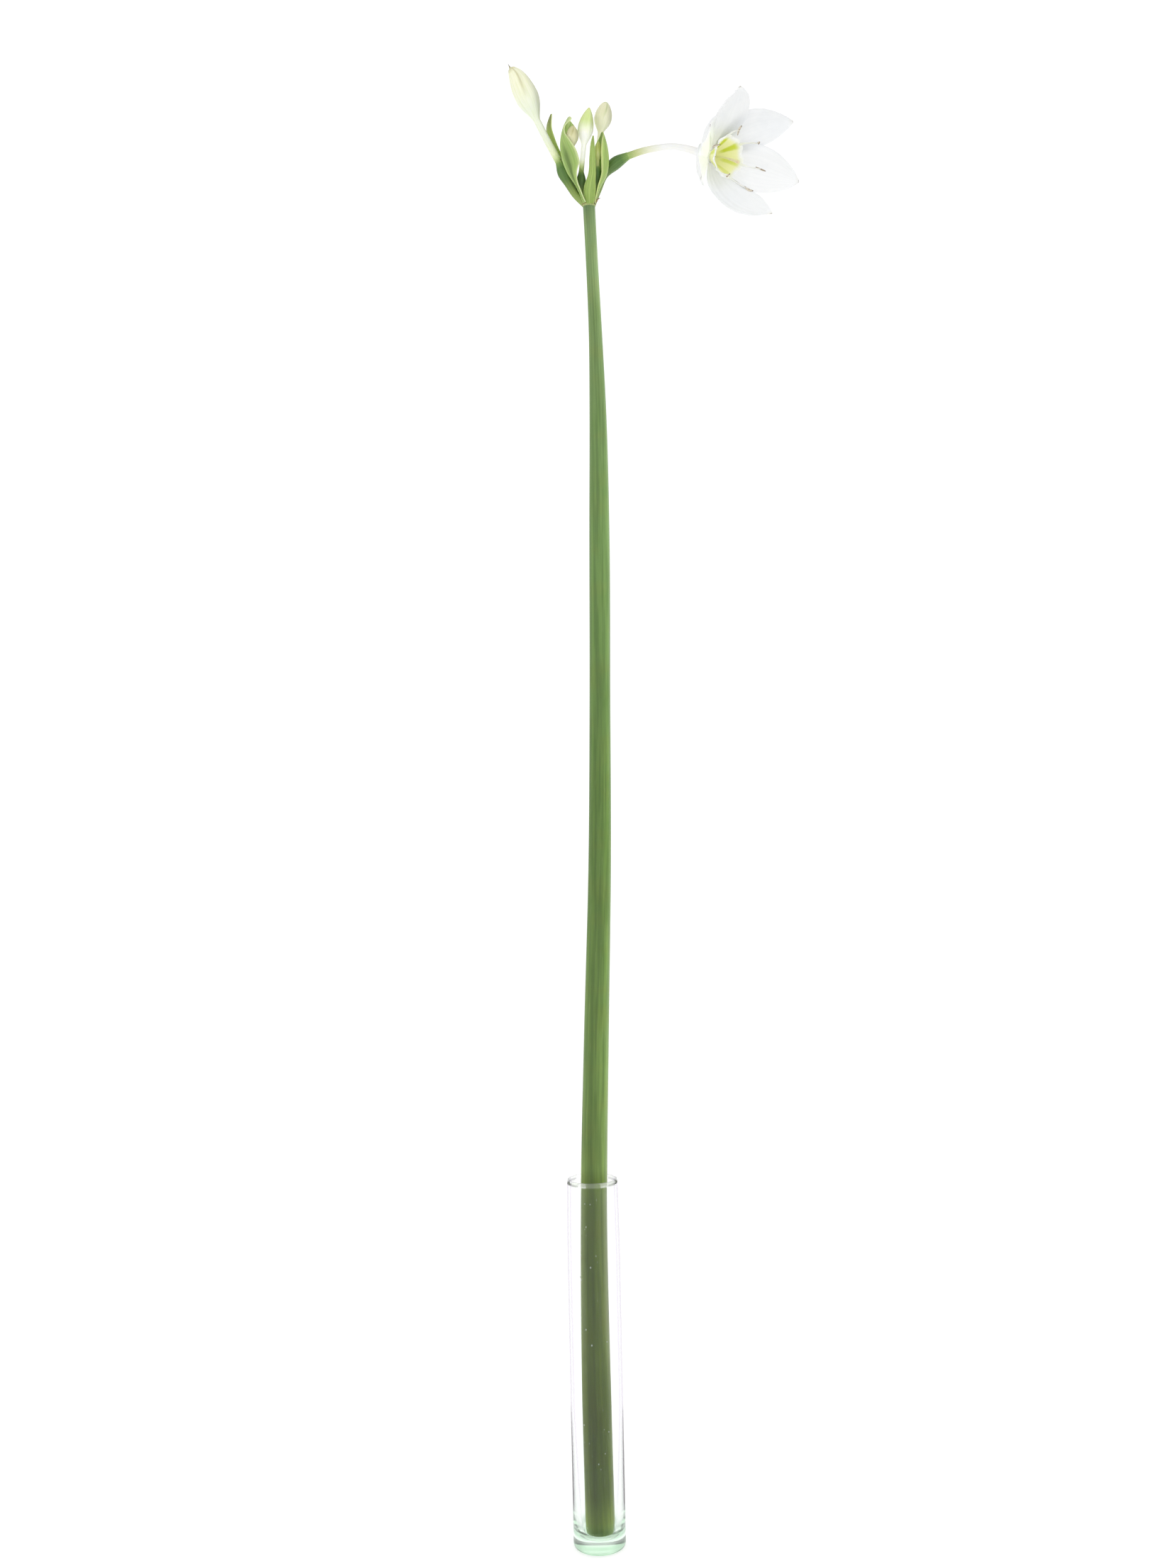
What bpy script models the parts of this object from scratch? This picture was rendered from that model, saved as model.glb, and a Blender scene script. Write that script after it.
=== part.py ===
"""Amazon lily in a slim glass vase.

One scape carries an open flower, five buds and four bracts. It stands dry in a glass tube vase.
Sizes are in millimetres here and become metres in the meshes. +Z is up, and the origin is the
middle of the vase's flat foot. The open flower faces right and forward, to +X and -Y.
"""

import math

import bmesh
import bpy
import numpy as np
from mathutils import Matrix, Vector

MM = 0.001
FIT_GAP = 0.35

# Glass vase
VASE_HEIGHT = 200.0
VASE_RADIUS = 14.3
VASE_RIM_RADIUS = 13.7
VASE_WALL = 1.5
VASE_TAPER_HEIGHT = 45.0
VASE_FOOT_RADIUS = 12.0
VASE_FOOT_ROUND = 3.0
CAVITY_FLOOR = 7.5
CAVITY_FLOOR_RADIUS = 9.6
CAVITY_FLOOR_ROUND = 6.0
THICK_WALL_TOP = 77.0
VASE_STEPS = 40

# Scape: x, y, z and radius down its middle, from the cut end up
SCAPE = (
    (0.5, -0.4, 8.7, 5.8),
    (0.5, -0.4, 10.0, 7.5),
    (0.5, -0.3, 12.4, 8.1),
    (-0.1, 1.6, 81.0, 8.0),
    (0.6, 4.2, 185.0, 7.3),
    (3.9, 5.6, 278.0, 6.8),
    (7.6, 6.0, 370.0, 6.2),
    (9.7, 5.6, 463.0, 5.7),
    (11.3, 4.2, 555.0, 5.5),
    (11.8, 2.8, 617.0, 4.6),
    (11.4, 1.8, 657.0, 3.7),
    (10.2, 0.6, 700.0, 3.3),
    (9.3, 0.0, 727.6, 3.25),
)

# Receptacle: the short swollen top that every stalk and bract grows from
RECEPTACLE_CENTRE = (9.3, 0.0)
RECEPTACLE_FOOT = 727.6 + FIT_GAP
RECEPTACLE_HEIGHT = 3.2
RECEPTACLE_RADIUS = 3.9

# Flower stalks with their ovaries: x, y, z and radius, from the receptacle up
STALKS = {
    "bud_1": (
        (7.4, 0.3, 729.0, 1.8),
        (2.2, 0.4, 734.6, 1.9),
        (-1.6, 0.8, 741.2, 2.3),
        (-4.1, 0.8, 746.8, 3.3),
        (-6.2, 0.8, 752.4, 2.2),
    ),
    "bud_2": (
        (8.2, -1.6, 729.0, 1.5),
        (5.0, -3.4, 735.5, 1.4),
        (2.6, -4.5, 741.0, 1.7),
        (1.6, -4.8, 745.0, 2.3),
        (1.2, -4.9, 749.0, 1.5),
    ),
    "bud_3": (
        (8.8, 0.5, 729.0, 1.5),
        (6.4, 0.6, 734.0, 1.3),
        (5.5, 0.6, 738.4, 1.9),
        (5.4, 0.9, 742.6, 2.5),
        (5.5, 1.2, 747.0, 1.6),
    ),
    "bud_4": (
        (9.8, 1.8, 729.0, 1.5),
        (11.4, 3.2, 736.0, 1.4),
        (12.6, 4.0, 742.0, 1.8),
        (13.5, 4.4, 747.0, 2.4),
        (14.1, 4.7, 752.4, 1.5),
    ),
    "bud_5": (
        (10.6, -0.8, 729.0, 1.3),
        (12.9, -1.8, 737.0, 1.1),
        (14.2, -2.2, 742.6, 1.3),
        (14.5, -2.3, 745.4, 1.7),
        (14.6, -2.4, 748.3, 1.1),
    ),
    "flower": (
        (11.2, 1.4, 729.0, 1.7),
        (14.6, 3.6, 738.0, 1.8),
        (18.4, 4.6, 747.4, 2.4),
        (24.6, 4.7, 753.2, 3.4),
        (31.0, 4.3, 756.7, 2.0),
    ),
}

# Buds: the white tube's middle line, then the swollen limb's, with three radii, and the share of
# the limb where it is widest with how sharply it closes above that
BUDS = {
    "bud_1": {
        "tube": ((-6.4, 0.8, 752.8), (-12.4, 0.0, 763.9), (-18.0, -1.5, 775.0)),
        "limb": (
            (-18.0, -1.5, 775.0),
            (-21.4, -2.6, 783.6),
            (-25.1, -3.7, 791.2),
            (-28.6, -4.8, 798.4),
            (-32.2, -6.0, 803.2),
        ),
        "radii": (2.0, 1.9, 6.4),
        "closing": (0.44, 0.52),
        "colour": (0.88, 0.88, 0.70),
    },
    "bud_2": {
        "tube": ((1.2, -4.9, 749.4), (0.8, -5.0, 754.4), (0.6, -5.0, 759.0)),
        "limb": ((0.6, -5.0, 759.0), (0.9, -4.9, 764.5), (1.6, -4.7, 770.6)),
        "radii": (1.3, 1.3, 3.5),
        "closing": (0.45, 0.7),
        "colour": (0.68, 0.64, 0.40),
    },
    "bud_3": {
        "tube": ((5.5, 1.2, 747.4), (6.3, 1.4, 754.6), (7.2, 1.4, 762.1)),
        "limb": ((7.2, 1.4, 762.1), (8.5, 1.2, 772.0), (10.6, 1.0, 782.4)),
        "radii": (1.4, 1.4, 4.3),
        "closing": (0.42, 0.8),
        "colour": (0.78, 0.88, 0.52),
    },
    "bud_4": {
        "tube": ((14.1, 4.7, 752.8), (15.2, 5.8, 761.6), (16.3, 6.8, 770.5)),
        "limb": ((16.3, 6.8, 770.5), (18.1, 7.4, 779.0), (19.8, 8.0, 788.0)),
        "radii": (1.4, 1.4, 4.8),
        "closing": (0.48, 0.6),
        "colour": (0.80, 0.80, 0.62),
    },
    "bud_5": {
        "tube": ((14.6, -2.4, 748.7), (14.6, -2.4, 750.4), (14.7, -2.4, 752.0)),
        "limb": ((14.7, -2.4, 752.0), (15.1, -2.3, 757.4), (15.3, -2.3, 762.7)),
        "radii": (1.0, 1.0, 2.2),
        "closing": (0.42, 0.8),
        "colour": (0.60, 0.66, 0.30),
    },
}
BUD_TIP_RADIUS = 0.3
BUD_RINGS = (6, 18)

# Bracts: the keel's line from foot to tip, the way the hollow faces at the foot and at the tip, the
# widths of the halves to the right and left of that way, the radius of the hood that they bend
# to, and the outline as places along the keel with their share of the full width
BRACTS = {
    "sickle": {
        "keel": (
            (7.0, 2.2, 729.2),
            (-0.6, 3.6, 743.0),
            (-6.6, 4.2, 756.0),
            (-10.9, 4.1, 765.5),
            (-12.2, 3.9, 771.8),
            (-10.1, 3.4, 780.4),
        ),
        "faces": ((0.8, 0.6, 0.0), (0.8, 0.6, 0.0)),
        "halves": (3.1, 3.1),
        "hood": 3.4,
        "outline": ((0.0, 0.6), (0.35, 0.68), (0.6, 0.84), (0.75, 1.0), (0.87, 0.8), (1.0, 0.05)),
    },
    "left_hood": {
        "keel": (
            (6.6, -2.4, 729.0),
            (2.6, -3.9, 738.6),
            (-1.8, -4.4, 745.6),
            (-5.1, -4.0, 757.0),
            (-4.9, -2.9, 765.0),
            (-3.5, -1.5, 770.6),
            (-0.5, -0.7, 776.0),
        ),
        "faces": ((0.99, -0.14, 0.0), (0.77, -0.64, 0.0)),
        "halves": (8.8, 8.2),
        "hood": 5.3,
        "outline": (
            (0.0, 0.44),
            (0.15, 0.6),
            (0.3, 0.84),
            (0.5, 1.0),
            (0.76, 1.0),
            (0.9, 0.9),
            (1.0, 0.06),
        ),
    },
    "front": {
        "keel": (
            (9.6, -3.8, 728.6),
            (9.8, -4.6, 733.9),
            (10.1, -5.0, 737.7),
            (11.4, -5.3, 744.3),
            (11.7, -5.2, 753.1),
            (11.9, -5.0, 760.5),
            (12.3, -4.8, 765.0),
        ),
        "faces": ((0.0, 1.0, 0.0), (0.0, 1.0, 0.0)),
        "halves": (3.6, 3.6),
        "hood": 4.6,
        "outline": (
            (0.0, 0.64),
            (0.16, 1.0),
            (0.25, 0.92),
            (0.36, 0.66),
            (0.5, 0.5),
            (0.72, 0.42),
            (1.0, 0.03),
        ),
    },
    "right_hood": {
        "keel": (
            (12.4, 0.2, 729.2),
            (15.0, -0.2, 737.4),
            (19.1, -0.5, 745.6),
            (20.1, -0.8, 753.0),
            (19.3, -1.1, 760.4),
            (17.1, -1.5, 768.0),
        ),
        "faces": ((-0.93, -0.37, 0.0), (-0.93, -0.37, 0.0)),
        "halves": (8.6, 8.0),
        "hood": 4.6,
        "outline": ((0.0, 0.42), (0.3, 0.76), (0.55, 1.0), (0.78, 0.96), (0.89, 0.74), (1.0, 0.05)),
    },
}
BRACT_THICKNESS = 0.7
BRACT_TIP_WIDTH = 0.4
BRACT_GRID = (6, 11)

# Open flower: its place and the way it faces
THROAT = (76.4, -8.0, 751.0)
FLOWER_TURN = 42.2
FLOWER_DROOP = 16.3
FLOWER_TUBE = (
    (31.4, 4.25, 756.9, 1.9),
    (38.7, 4.1, 759.2, 1.8),
    (47.2, 3.5, 760.6, 1.75),
    (56.4, 2.2, 760.6, 1.8),
    (63.6, 0.0, 758.4, 1.95),
    (69.5, -3.0, 755.2, 2.3),
    (74.4, -6.4, 752.0, 3.0),
    (76.8, -8.4, 750.8, 3.4),
)

# Tepals: angle round the throat at the foot and at the tip, lean from the flower's axis at the
# foot, how far that lean closes again by the tip, length and half width
TEPALS = (
    (97.3, 119.5, 63.2, 31.6, 45.5, 11.5),
    (57.4, 39.6, 71.7, 36.0, 46.0, 10.2),
    (-2.4, -8.3, 66.0, 44.4, 48.8, 11.4),
    (-81.0, -49.9, 66.2, 47.6, 45.3, 12.2),
    (-163.6, -155.4, 67.9, 36.0, 44.0, 7.7),
    (155.2, 167.0, 64.6, 36.4, 43.5, 8.1),
)
TEPAL_ROOT = (2.6, -1.2)
TEPAL_THICKNESS = 0.8
TEPAL_FOOT_WIDTH = 2.0
TEPAL_WIDEST = 0.52
TEPAL_CUP = 0.22
TEPAL_GRID = (8, 12)

# Staminal cup: radius and height up its outer side, then its stamens and style
CUP_OUTSIDE = ((2.3, 0.2), (3.4, 1.6), (5.6, 5.0), (8.0, 9.0), (9.9, 12.0), (11.0, 14.0))
CUP_WALL = 0.8
CUP_FLOOR = 1.4
CUP_STEPS = 30
STAMEN_COUNT = 6
STAMEN_TURN = 49.9
FILAMENT_ROOT = (10.5, 12.6)
FILAMENT_TIP = (14.2, 22.0)
FILAMENT_RADIUS = 0.5
ANTHER_LENGTH = 7.0
ANTHER_RADIUS = 0.95
STYLE_LENGTH = 19.0
STYLE_RADIUS = 0.45
STIGMA_RADIUS = 1.1


def clear_scene():
    """Start from nothing, whatever file the script is run in."""
    for old in list(bpy.data.objects):
        bpy.data.objects.remove(old)


def new_collection(name):
    group = bpy.data.collections.new(name)
    bpy.context.scene.collection.children.link(group)
    return group


def make_material(name, colour, roughness, transmission=0.0):
    material = bpy.data.materials.new(name)
    material.use_nodes = True
    shader = material.node_tree.nodes["Principled BSDF"]
    shader.inputs["Base Color"].default_value = (*colour, 1.0)
    shader.inputs["Roughness"].default_value = roughness
    shader.inputs["Metallic"].default_value = 0.0
    shader.inputs["Transmission Weight"].default_value = transmission
    return material


def add_object(name, data, group, material=None):
    piece = bpy.data.objects.new(name, data)
    group.objects.link(piece)
    if material is not None:
        data.materials.append(material)
    return piece


def smooth_rows(rows, count):
    """Rows of numbers read at even steps along a smooth curve through the given rows."""
    rows = np.array(rows, float)
    steps = np.linalg.norm(np.diff(rows[:, :3], axis=0), axis=1)
    places = np.concatenate(([0.0], np.cumsum(steps)))
    slopes = np.gradient(rows, places, axis=0)
    wanted = np.linspace(0.0, places[-1], count)
    span = np.clip(np.searchsorted(places, wanted, side="right") - 1, 0, len(steps) - 1)
    width = steps[span][:, None]
    s = ((wanted - places[span]) / steps[span])[:, None]
    start, end = rows[span], rows[span + 1]
    return (
        (2 * s**3 - 3 * s**2 + 1) * start
        + (s**3 - 2 * s**2 + s) * width * slopes[span]
        + (3 * s**2 - 2 * s**3) * end
        + (s**3 - s**2) * width * slopes[span + 1]
    )


def round_curve(name, rows, group, material=None, resolution=4):
    """A round stalk as a bevelled curve: each row holds x, y, z and radius in millimetres."""
    curve = bpy.data.curves.new(name, "CURVE")
    curve.dimensions = "3D"
    curve.bevel_depth = MM
    curve.bevel_resolution = resolution
    curve.use_fill_caps = True
    line = curve.splines.new("POLY")
    line.points.add(len(rows) - 1)
    for point, (x, y, z, radius) in zip(line.points, rows):
        point.co = (x * MM, y * MM, z * MM, 1.0)
        point.radius = radius
    return add_object(name, curve, group, material)


def as_mesh(piece, group, weld=0.000001):
    """Turn a curve, or an object with modifiers, into a plain mesh in world space."""
    bpy.context.view_layer.update()
    placed = piece.matrix_world.copy()
    evaluated = piece.evaluated_get(bpy.context.evaluated_depsgraph_get())
    mesh = bpy.data.meshes.new_from_object(evaluated)
    mesh.transform(placed)
    name = piece.name
    bpy.data.objects.remove(piece)
    work = bmesh.new()
    work.from_mesh(mesh)
    bmesh.ops.remove_doubles(work, verts=work.verts, dist=weld)
    bmesh.ops.triangulate(work, faces=work.faces)
    work.to_mesh(mesh)
    work.free()
    return add_object(name, mesh, group)


def turned(name, profile, steps, group, material=None):
    """A turned shape: radius and height pairs spun round the Z axis."""
    mesh = bpy.data.meshes.new(name)
    points = [(radius * MM, 0.0, height * MM) for radius, height in profile]
    mesh.from_pydata(points, [(i, i + 1) for i in range(len(points) - 1)], [])
    piece = add_object(name, mesh, group, material)
    spin = piece.modifiers.new("Spin", "SCREW")
    spin.angle = math.tau
    spin.steps = steps
    spin.render_steps = steps
    spin.use_merge_vertices = True
    spin.merge_threshold = 0.00005
    return piece


def fuse(name, pieces, group, material, cutter=None):
    """Join meshes into one closed body, then take the cutter out of it."""
    rest = new_collection(name + "_repeats")
    body = pieces[0]
    for piece in pieces[1:]:
        group.objects.unlink(piece)
        rest.objects.link(piece)
    join = body.modifiers.new("Join", "BOOLEAN")
    join.operation = "UNION"
    join.operand_type = "COLLECTION"
    join.collection = rest
    join.solver = "MANIFOLD"
    if cutter is not None:
        cut = body.modifiers.new("Cut", "BOOLEAN")
        cut.operation = "DIFFERENCE"
        cut.solver = "MANIFOLD"
        cut.object = cutter
    joined = as_mesh(body, group)
    joined.name = name
    joined.data.materials.clear()
    joined.data.materials.append(material)
    joined.data.shade_smooth()
    for piece in pieces[1:]:
        bpy.data.objects.remove(piece)
    bpy.data.collections.remove(rest)
    return joined


def vase_outer_radius(height):
    """Straight tube that draws in a little to the rim."""
    drawn = max(0.0, height - (VASE_HEIGHT - VASE_TAPER_HEIGHT)) / VASE_TAPER_HEIGHT
    return VASE_RADIUS - (VASE_RADIUS - VASE_RIM_RADIUS) * drawn**1.5


def vase_inner_radius(height):
    """Thin wall above, which thickens towards the foot."""
    low = max(0.0, THICK_WALL_TOP - height) / (THICK_WALL_TOP - CAVITY_FLOOR)
    narrow = VASE_RADIUS - VASE_WALL - CAVITY_FLOOR_RADIUS
    return vase_outer_radius(height) - VASE_WALL - narrow * low**1.4


def vase_profile():
    """From the cavity's floor up the inside, over the lip and down the outside to the foot."""
    points = [(0.0, CAVITY_FLOOR)]
    for i in range(1, 6):
        turn = math.radians(90 * i / 6)
        flat = CAVITY_FLOOR_RADIUS - CAVITY_FLOOR_ROUND
        radius = flat + CAVITY_FLOOR_ROUND * math.sin(turn)
        points.append((radius, CAVITY_FLOOR + CAVITY_FLOOR_ROUND * (1 - math.cos(turn))))
    for height in (18.0, 30.0, 45.0, 60.0, THICK_WALL_TOP, 120.0, 155.0, 180.0):
        points.append((vase_inner_radius(height), height))
    lip_radius = VASE_WALL / 2
    lip_middle = VASE_RIM_RADIUS - lip_radius
    for i in range(6):
        turn = math.pi * (1 - i / 5)
        points.append(
            (lip_middle + lip_radius * math.cos(turn), VASE_HEIGHT - lip_radius * (1 - math.sin(turn)))
        )
    for height in (180.0, 155.0, THICK_WALL_TOP):
        points.append((vase_outer_radius(height), height))
    side = VASE_RADIUS - VASE_FOOT_RADIUS
    for i in range(5):
        turn = math.radians(90 * i / 4)
        points.append(
            (VASE_FOOT_RADIUS + side * math.cos(turn), VASE_FOOT_ROUND * (1 - math.sin(turn)))
        )
    points.append((0.0, 0.0))
    return points


def make_vase(group):
    glass = make_material("clear_glass", (0.93, 0.97, 0.94), 0.02, transmission=1.0)
    vase = turned("vase", vase_profile(), VASE_STEPS, group, glass)
    return vase


def make_scape(group):
    green = make_material("scape_green", (0.19, 0.31, 0.11), 0.45)
    foot = smooth_rows(SCAPE[:3], 4)
    shaft = smooth_rows(SCAPE[2:], 26)
    rows = np.concatenate((foot, shaft[1:]))
    return round_curve("scape", rows, group, green)


def make_bract(name, shape, group):
    """A leaf bent round its keel: a grid laid on the hood's round section, then given its wall."""
    across, along = BRACT_GRID
    keel = smooth_rows(shape["keel"], along + 1)
    tangents = np.gradient(keel, axis=0)
    foot_faces, tip_faces = np.array(shape["faces"])
    places, shares = zip(*shape["outline"])
    right, left = shape["halves"]
    work = bmesh.new()
    bmesh.ops.create_grid(work, x_segments=across, y_segments=along, size=1.0)
    for vert in work.verts:
        v, t = vert.co.x, (vert.co.y + 1) / 2
        row = round(t * along)
        tangent = tangents[row] / np.linalg.norm(tangents[row])
        faces = foot_faces + (tip_faces - foot_faces) * t
        inward = faces - faces.dot(tangent) * tangent
        inward /= np.linalg.norm(inward)
        sideways = np.cross(tangent, inward)
        width = (left if v > 0 else right) * np.interp(t, places, shares) + BRACT_TIP_WIDTH
        turn = v * width / shape["hood"]
        offset = (1 - math.cos(turn)) * inward + math.sin(turn) * sideways
        vert.co = Vector((keel[row] + shape["hood"] * offset) * MM)
    bmesh.ops.triangulate(work, faces=work.faces)
    mesh = bpy.data.meshes.new(name)
    work.to_mesh(mesh)
    work.free()
    bract = add_object(name, mesh, group)
    wall = bract.modifiers.new("Wall", "SOLIDIFY")
    wall.thickness = BRACT_THICKNESS * MM
    wall.offset = 0.0
    return as_mesh(bract, group)


def make_umbel(group):
    """Receptacle, stalks with ovaries and bracts, grown together."""
    green = make_material("bract_green", (0.30, 0.45, 0.14), 0.5)
    top = RECEPTACLE_FOOT + RECEPTACLE_HEIGHT
    profile = (
        (0.0, top),
        (RECEPTACLE_RADIUS * 0.7, top - 0.4),
        (RECEPTACLE_RADIUS, top - 1.6),
        (RECEPTACLE_RADIUS * 0.95, RECEPTACLE_FOOT + 0.5),
        (RECEPTACLE_RADIUS * 0.85, RECEPTACLE_FOOT),
        (0.0, RECEPTACLE_FOOT),
    )
    receptacle = turned("receptacle", profile, 20, group)
    receptacle.location = (RECEPTACLE_CENTRE[0] * MM, RECEPTACLE_CENTRE[1] * MM, 0.0)
    pieces = [as_mesh(receptacle, group)]
    for name, rows in STALKS.items():
        stalk = round_curve(name + "_stalk", smooth_rows(rows, 12), group, resolution=3)
        pieces.append(as_mesh(stalk, group))
    for name, shape in BRACTS.items():
        pieces.append(make_bract(name, shape, group))
    return fuse("umbel", pieces, group, green)


def limb_radius(t, tube, limb, closing):
    """Radius of a closed bud's limb at t, from 0 where the tube ends to 1 at the point."""
    widest, sharpness = closing
    if t < widest:
        return tube + (limb - tube) * math.sin(math.pi / 2 * t / widest) ** 1.3
    turn = math.pi / 2 * (t - widest) / (1 - widest)
    return BUD_TIP_RADIUS + (limb - BUD_TIP_RADIUS) * max(0.0, math.cos(turn)) ** sharpness


def make_buds(group):
    buds = []
    for name, shape in BUDS.items():
        foot, tube, limb = shape["radii"]
        rows = []
        for i, point in enumerate(smooth_rows(shape["tube"], BUD_RINGS[0])):
            rows.append((*point, foot + (tube - foot) * i / (BUD_RINGS[0] - 1)))
        for i, point in enumerate(smooth_rows(shape["limb"], BUD_RINGS[1])):
            if i > 0:
                t = i / (BUD_RINGS[1] - 1)
                rows.append((*point, limb_radius(t, tube, limb, shape["closing"])))
        skin = make_material(name + "_skin", shape["colour"], 0.5)
        buds.append(round_curve(name, rows, group, skin))
    return buds


def tepal_outline(t):
    """Share of the full half width at t, from 0 at the throat to 1 at the tip."""
    if t < TEPAL_WIDEST:
        return math.sin(math.pi / 2 * t / TEPAL_WIDEST) ** 1.1
    return math.cos(math.pi / 2 * (t - TEPAL_WIDEST) / (1 - TEPAL_WIDEST)) ** 0.75


def make_tepal(name, shape, group):
    """One tepal in the flower's own frame, where +Z runs out of the throat."""
    foot_turn, tip_turn, lean, closing, length, half_width = shape
    across, along = TEPAL_GRID
    radius, height = TEPAL_ROOT
    middle = [(radius, height)]
    for i in range(along):
        slope = math.radians(lean - closing * (i + 0.5) / along)
        radius += length / along * math.sin(slope)
        height += length / along * math.cos(slope)
        middle.append((radius, height))
    work = bmesh.new()
    bmesh.ops.create_grid(work, x_segments=across, y_segments=along, size=1.0)
    for vert in work.verts:
        v, t = vert.co.x, (vert.co.y + 1) / 2
        radius, height = middle[round(t * along)]
        slope = math.radians(lean - closing * t)
        turn = math.radians(foot_turn + (tip_turn - foot_turn) * t**1.5)
        out = Vector((math.cos(turn), math.sin(turn), 0.0))
        aside = Vector((-math.sin(turn), math.cos(turn), 0.0))
        inward = -math.cos(slope) * out + Vector((0.0, 0.0, math.sin(slope)))
        width = TEPAL_FOOT_WIDTH * (1 - t) + half_width * tepal_outline(t) + 0.4
        lift = TEPAL_CUP * width * v**2 - 0.35 * math.exp(-((v / 0.2) ** 2)) * math.sin(math.pi * t)
        place = out * radius + Vector((0.0, 0.0, height)) + aside * (v * width) + inward * lift
        vert.co = place * MM
    bmesh.ops.triangulate(work, faces=work.faces)
    mesh = bpy.data.meshes.new(name)
    work.to_mesh(mesh)
    work.free()
    tepal = add_object(name, mesh, group)
    wall = tepal.modifiers.new("Wall", "SOLIDIFY")
    wall.thickness = TEPAL_THICKNESS * MM
    wall.offset = 0.0
    place_on_flower(tepal)
    return as_mesh(tepal, group)


def flower_matrix():
    """The flower's own frame: +Z out of the throat, right and forward and a little down."""
    turn = Matrix.Rotation(math.radians(FLOWER_TURN), 4, "Z")
    tip = Matrix.Rotation(math.radians(90 + FLOWER_DROOP), 4, "X")
    return Matrix.Translation(Vector(THROAT) * MM) @ turn @ tip


def place_on_flower(piece):
    piece.matrix_world = flower_matrix()


def cup_profile(clearance=0.0):
    """The cup's outside, wider by the clearance, closed by a flat top."""
    profile = [(radius + clearance, height) for radius, height in reversed(CUP_OUTSIDE)]
    profile.insert(0, (0.0, CUP_OUTSIDE[-1][1]))
    profile.append((0.0, CUP_OUTSIDE[0][1] - clearance))
    return profile


def make_flower(group, cutters):
    """Curved tube and six tepals, hollowed at the throat where the cup sits."""
    white = make_material("tepal_white", (0.88, 0.89, 0.88), 0.5)
    tube = round_curve("tube", smooth_rows(FLOWER_TUBE, 16), group)
    pieces = [as_mesh(tube, group)]
    for i, shape in enumerate(TEPALS):
        pieces.append(make_tepal(f"tepal_{i + 1}", shape, group))
    seat = turned("throat_seat", cup_profile(FIT_GAP), CUP_STEPS, cutters)
    seat.hide_render = True
    seat.display_type = "WIRE"
    place_on_flower(seat)
    return fuse("flower", pieces, group, white, cutter=seat)


def in_ring(turn, radius, height):
    """A point round the flower's axis, in the flower's own frame."""
    return Vector((radius * math.cos(turn), radius * math.sin(turn), height))


def make_staminal_cup(group):
    """Funnel-shaped cup with six stamens on its rim and the style up its middle."""
    pale = make_material("cup_white_green", (0.80, 0.86, 0.55), 0.5)
    inside = [(radius - CUP_WALL, max(height, CUP_FLOOR)) for radius, height in CUP_OUTSIDE]
    profile = [(0.0, CUP_FLOOR)] + inside[1:] + list(reversed(CUP_OUTSIDE))
    profile.append((0.0, CUP_OUTSIDE[0][1]))
    pieces = [turned("cup", profile, CUP_STEPS, group)]
    for i in range(STAMEN_COUNT):
        turn = math.radians(STAMEN_TURN + 60 * i)
        root = in_ring(turn, *FILAMENT_ROOT)
        tip = in_ring(turn, *FILAMENT_TIP)
        heading = (tip - root).normalized()
        filament = [(*root.lerp(tip, s), FILAMENT_RADIUS) for s in (0.0, 0.5, 1.0)]
        pieces.append(round_curve(f"filament_{i + 1}", filament, group, resolution=1))
        anther = []
        for s in (-0.5, -0.4, 0.0, 0.4, 0.5):
            fat = ANTHER_RADIUS * math.sqrt(max(0.12, 1 - (s / 0.52) ** 2))
            anther.append((*(tip + heading * (s + 0.3) * ANTHER_LENGTH), fat))
        pieces.append(round_curve(f"anther_{i + 1}", anther, group, resolution=1))
    style = [(0.0, 0.0, CUP_FLOOR - 0.5, STYLE_RADIUS)]
    style.append((0.0, 0.0, STYLE_LENGTH - 2.0, STYLE_RADIUS))
    for s in (-0.8, 0.0, 0.8):
        style.append((0.0, 0.0, STYLE_LENGTH + s * STIGMA_RADIUS, STIGMA_RADIUS * (1 - 0.5 * abs(s))))
    pieces.append(round_curve("style", style, group, resolution=1))
    for piece in pieces:
        place_on_flower(piece)
    pieces = [as_mesh(piece, group) for piece in pieces]
    return fuse("staminal_cup", pieces, group, pale)


def main():
    clear_scene()
    lily = new_collection("amazon_lily")
    cutters = new_collection("cutters")
    make_vase(lily)
    make_scape(lily)
    make_umbel(lily)
    make_buds(lily)
    make_flower(lily, cutters)
    make_staminal_cup(lily)


main()
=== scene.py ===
# %% [markdown]
# # An amazon lily in its glass tube vase
#
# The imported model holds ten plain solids: a glass tube, a fleshy flower stem, the green head that
# carries the stalks and bracts, five buds, the open flower and the little cup in its throat. This
# script keeps each of them where it is and dresses it: finer petals with veins, bracts with pale
# margins, a ribbed stem, anthers with pollen, and glass that takes its green from its thickness.
# We start by loading that model as a fixed frame, in metres, with +Z up.

from math import cos, exp, pi, radians, sin, tau

import bmesh
import bpy
import numpy as np
from mathutils import Matrix, Vector


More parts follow.
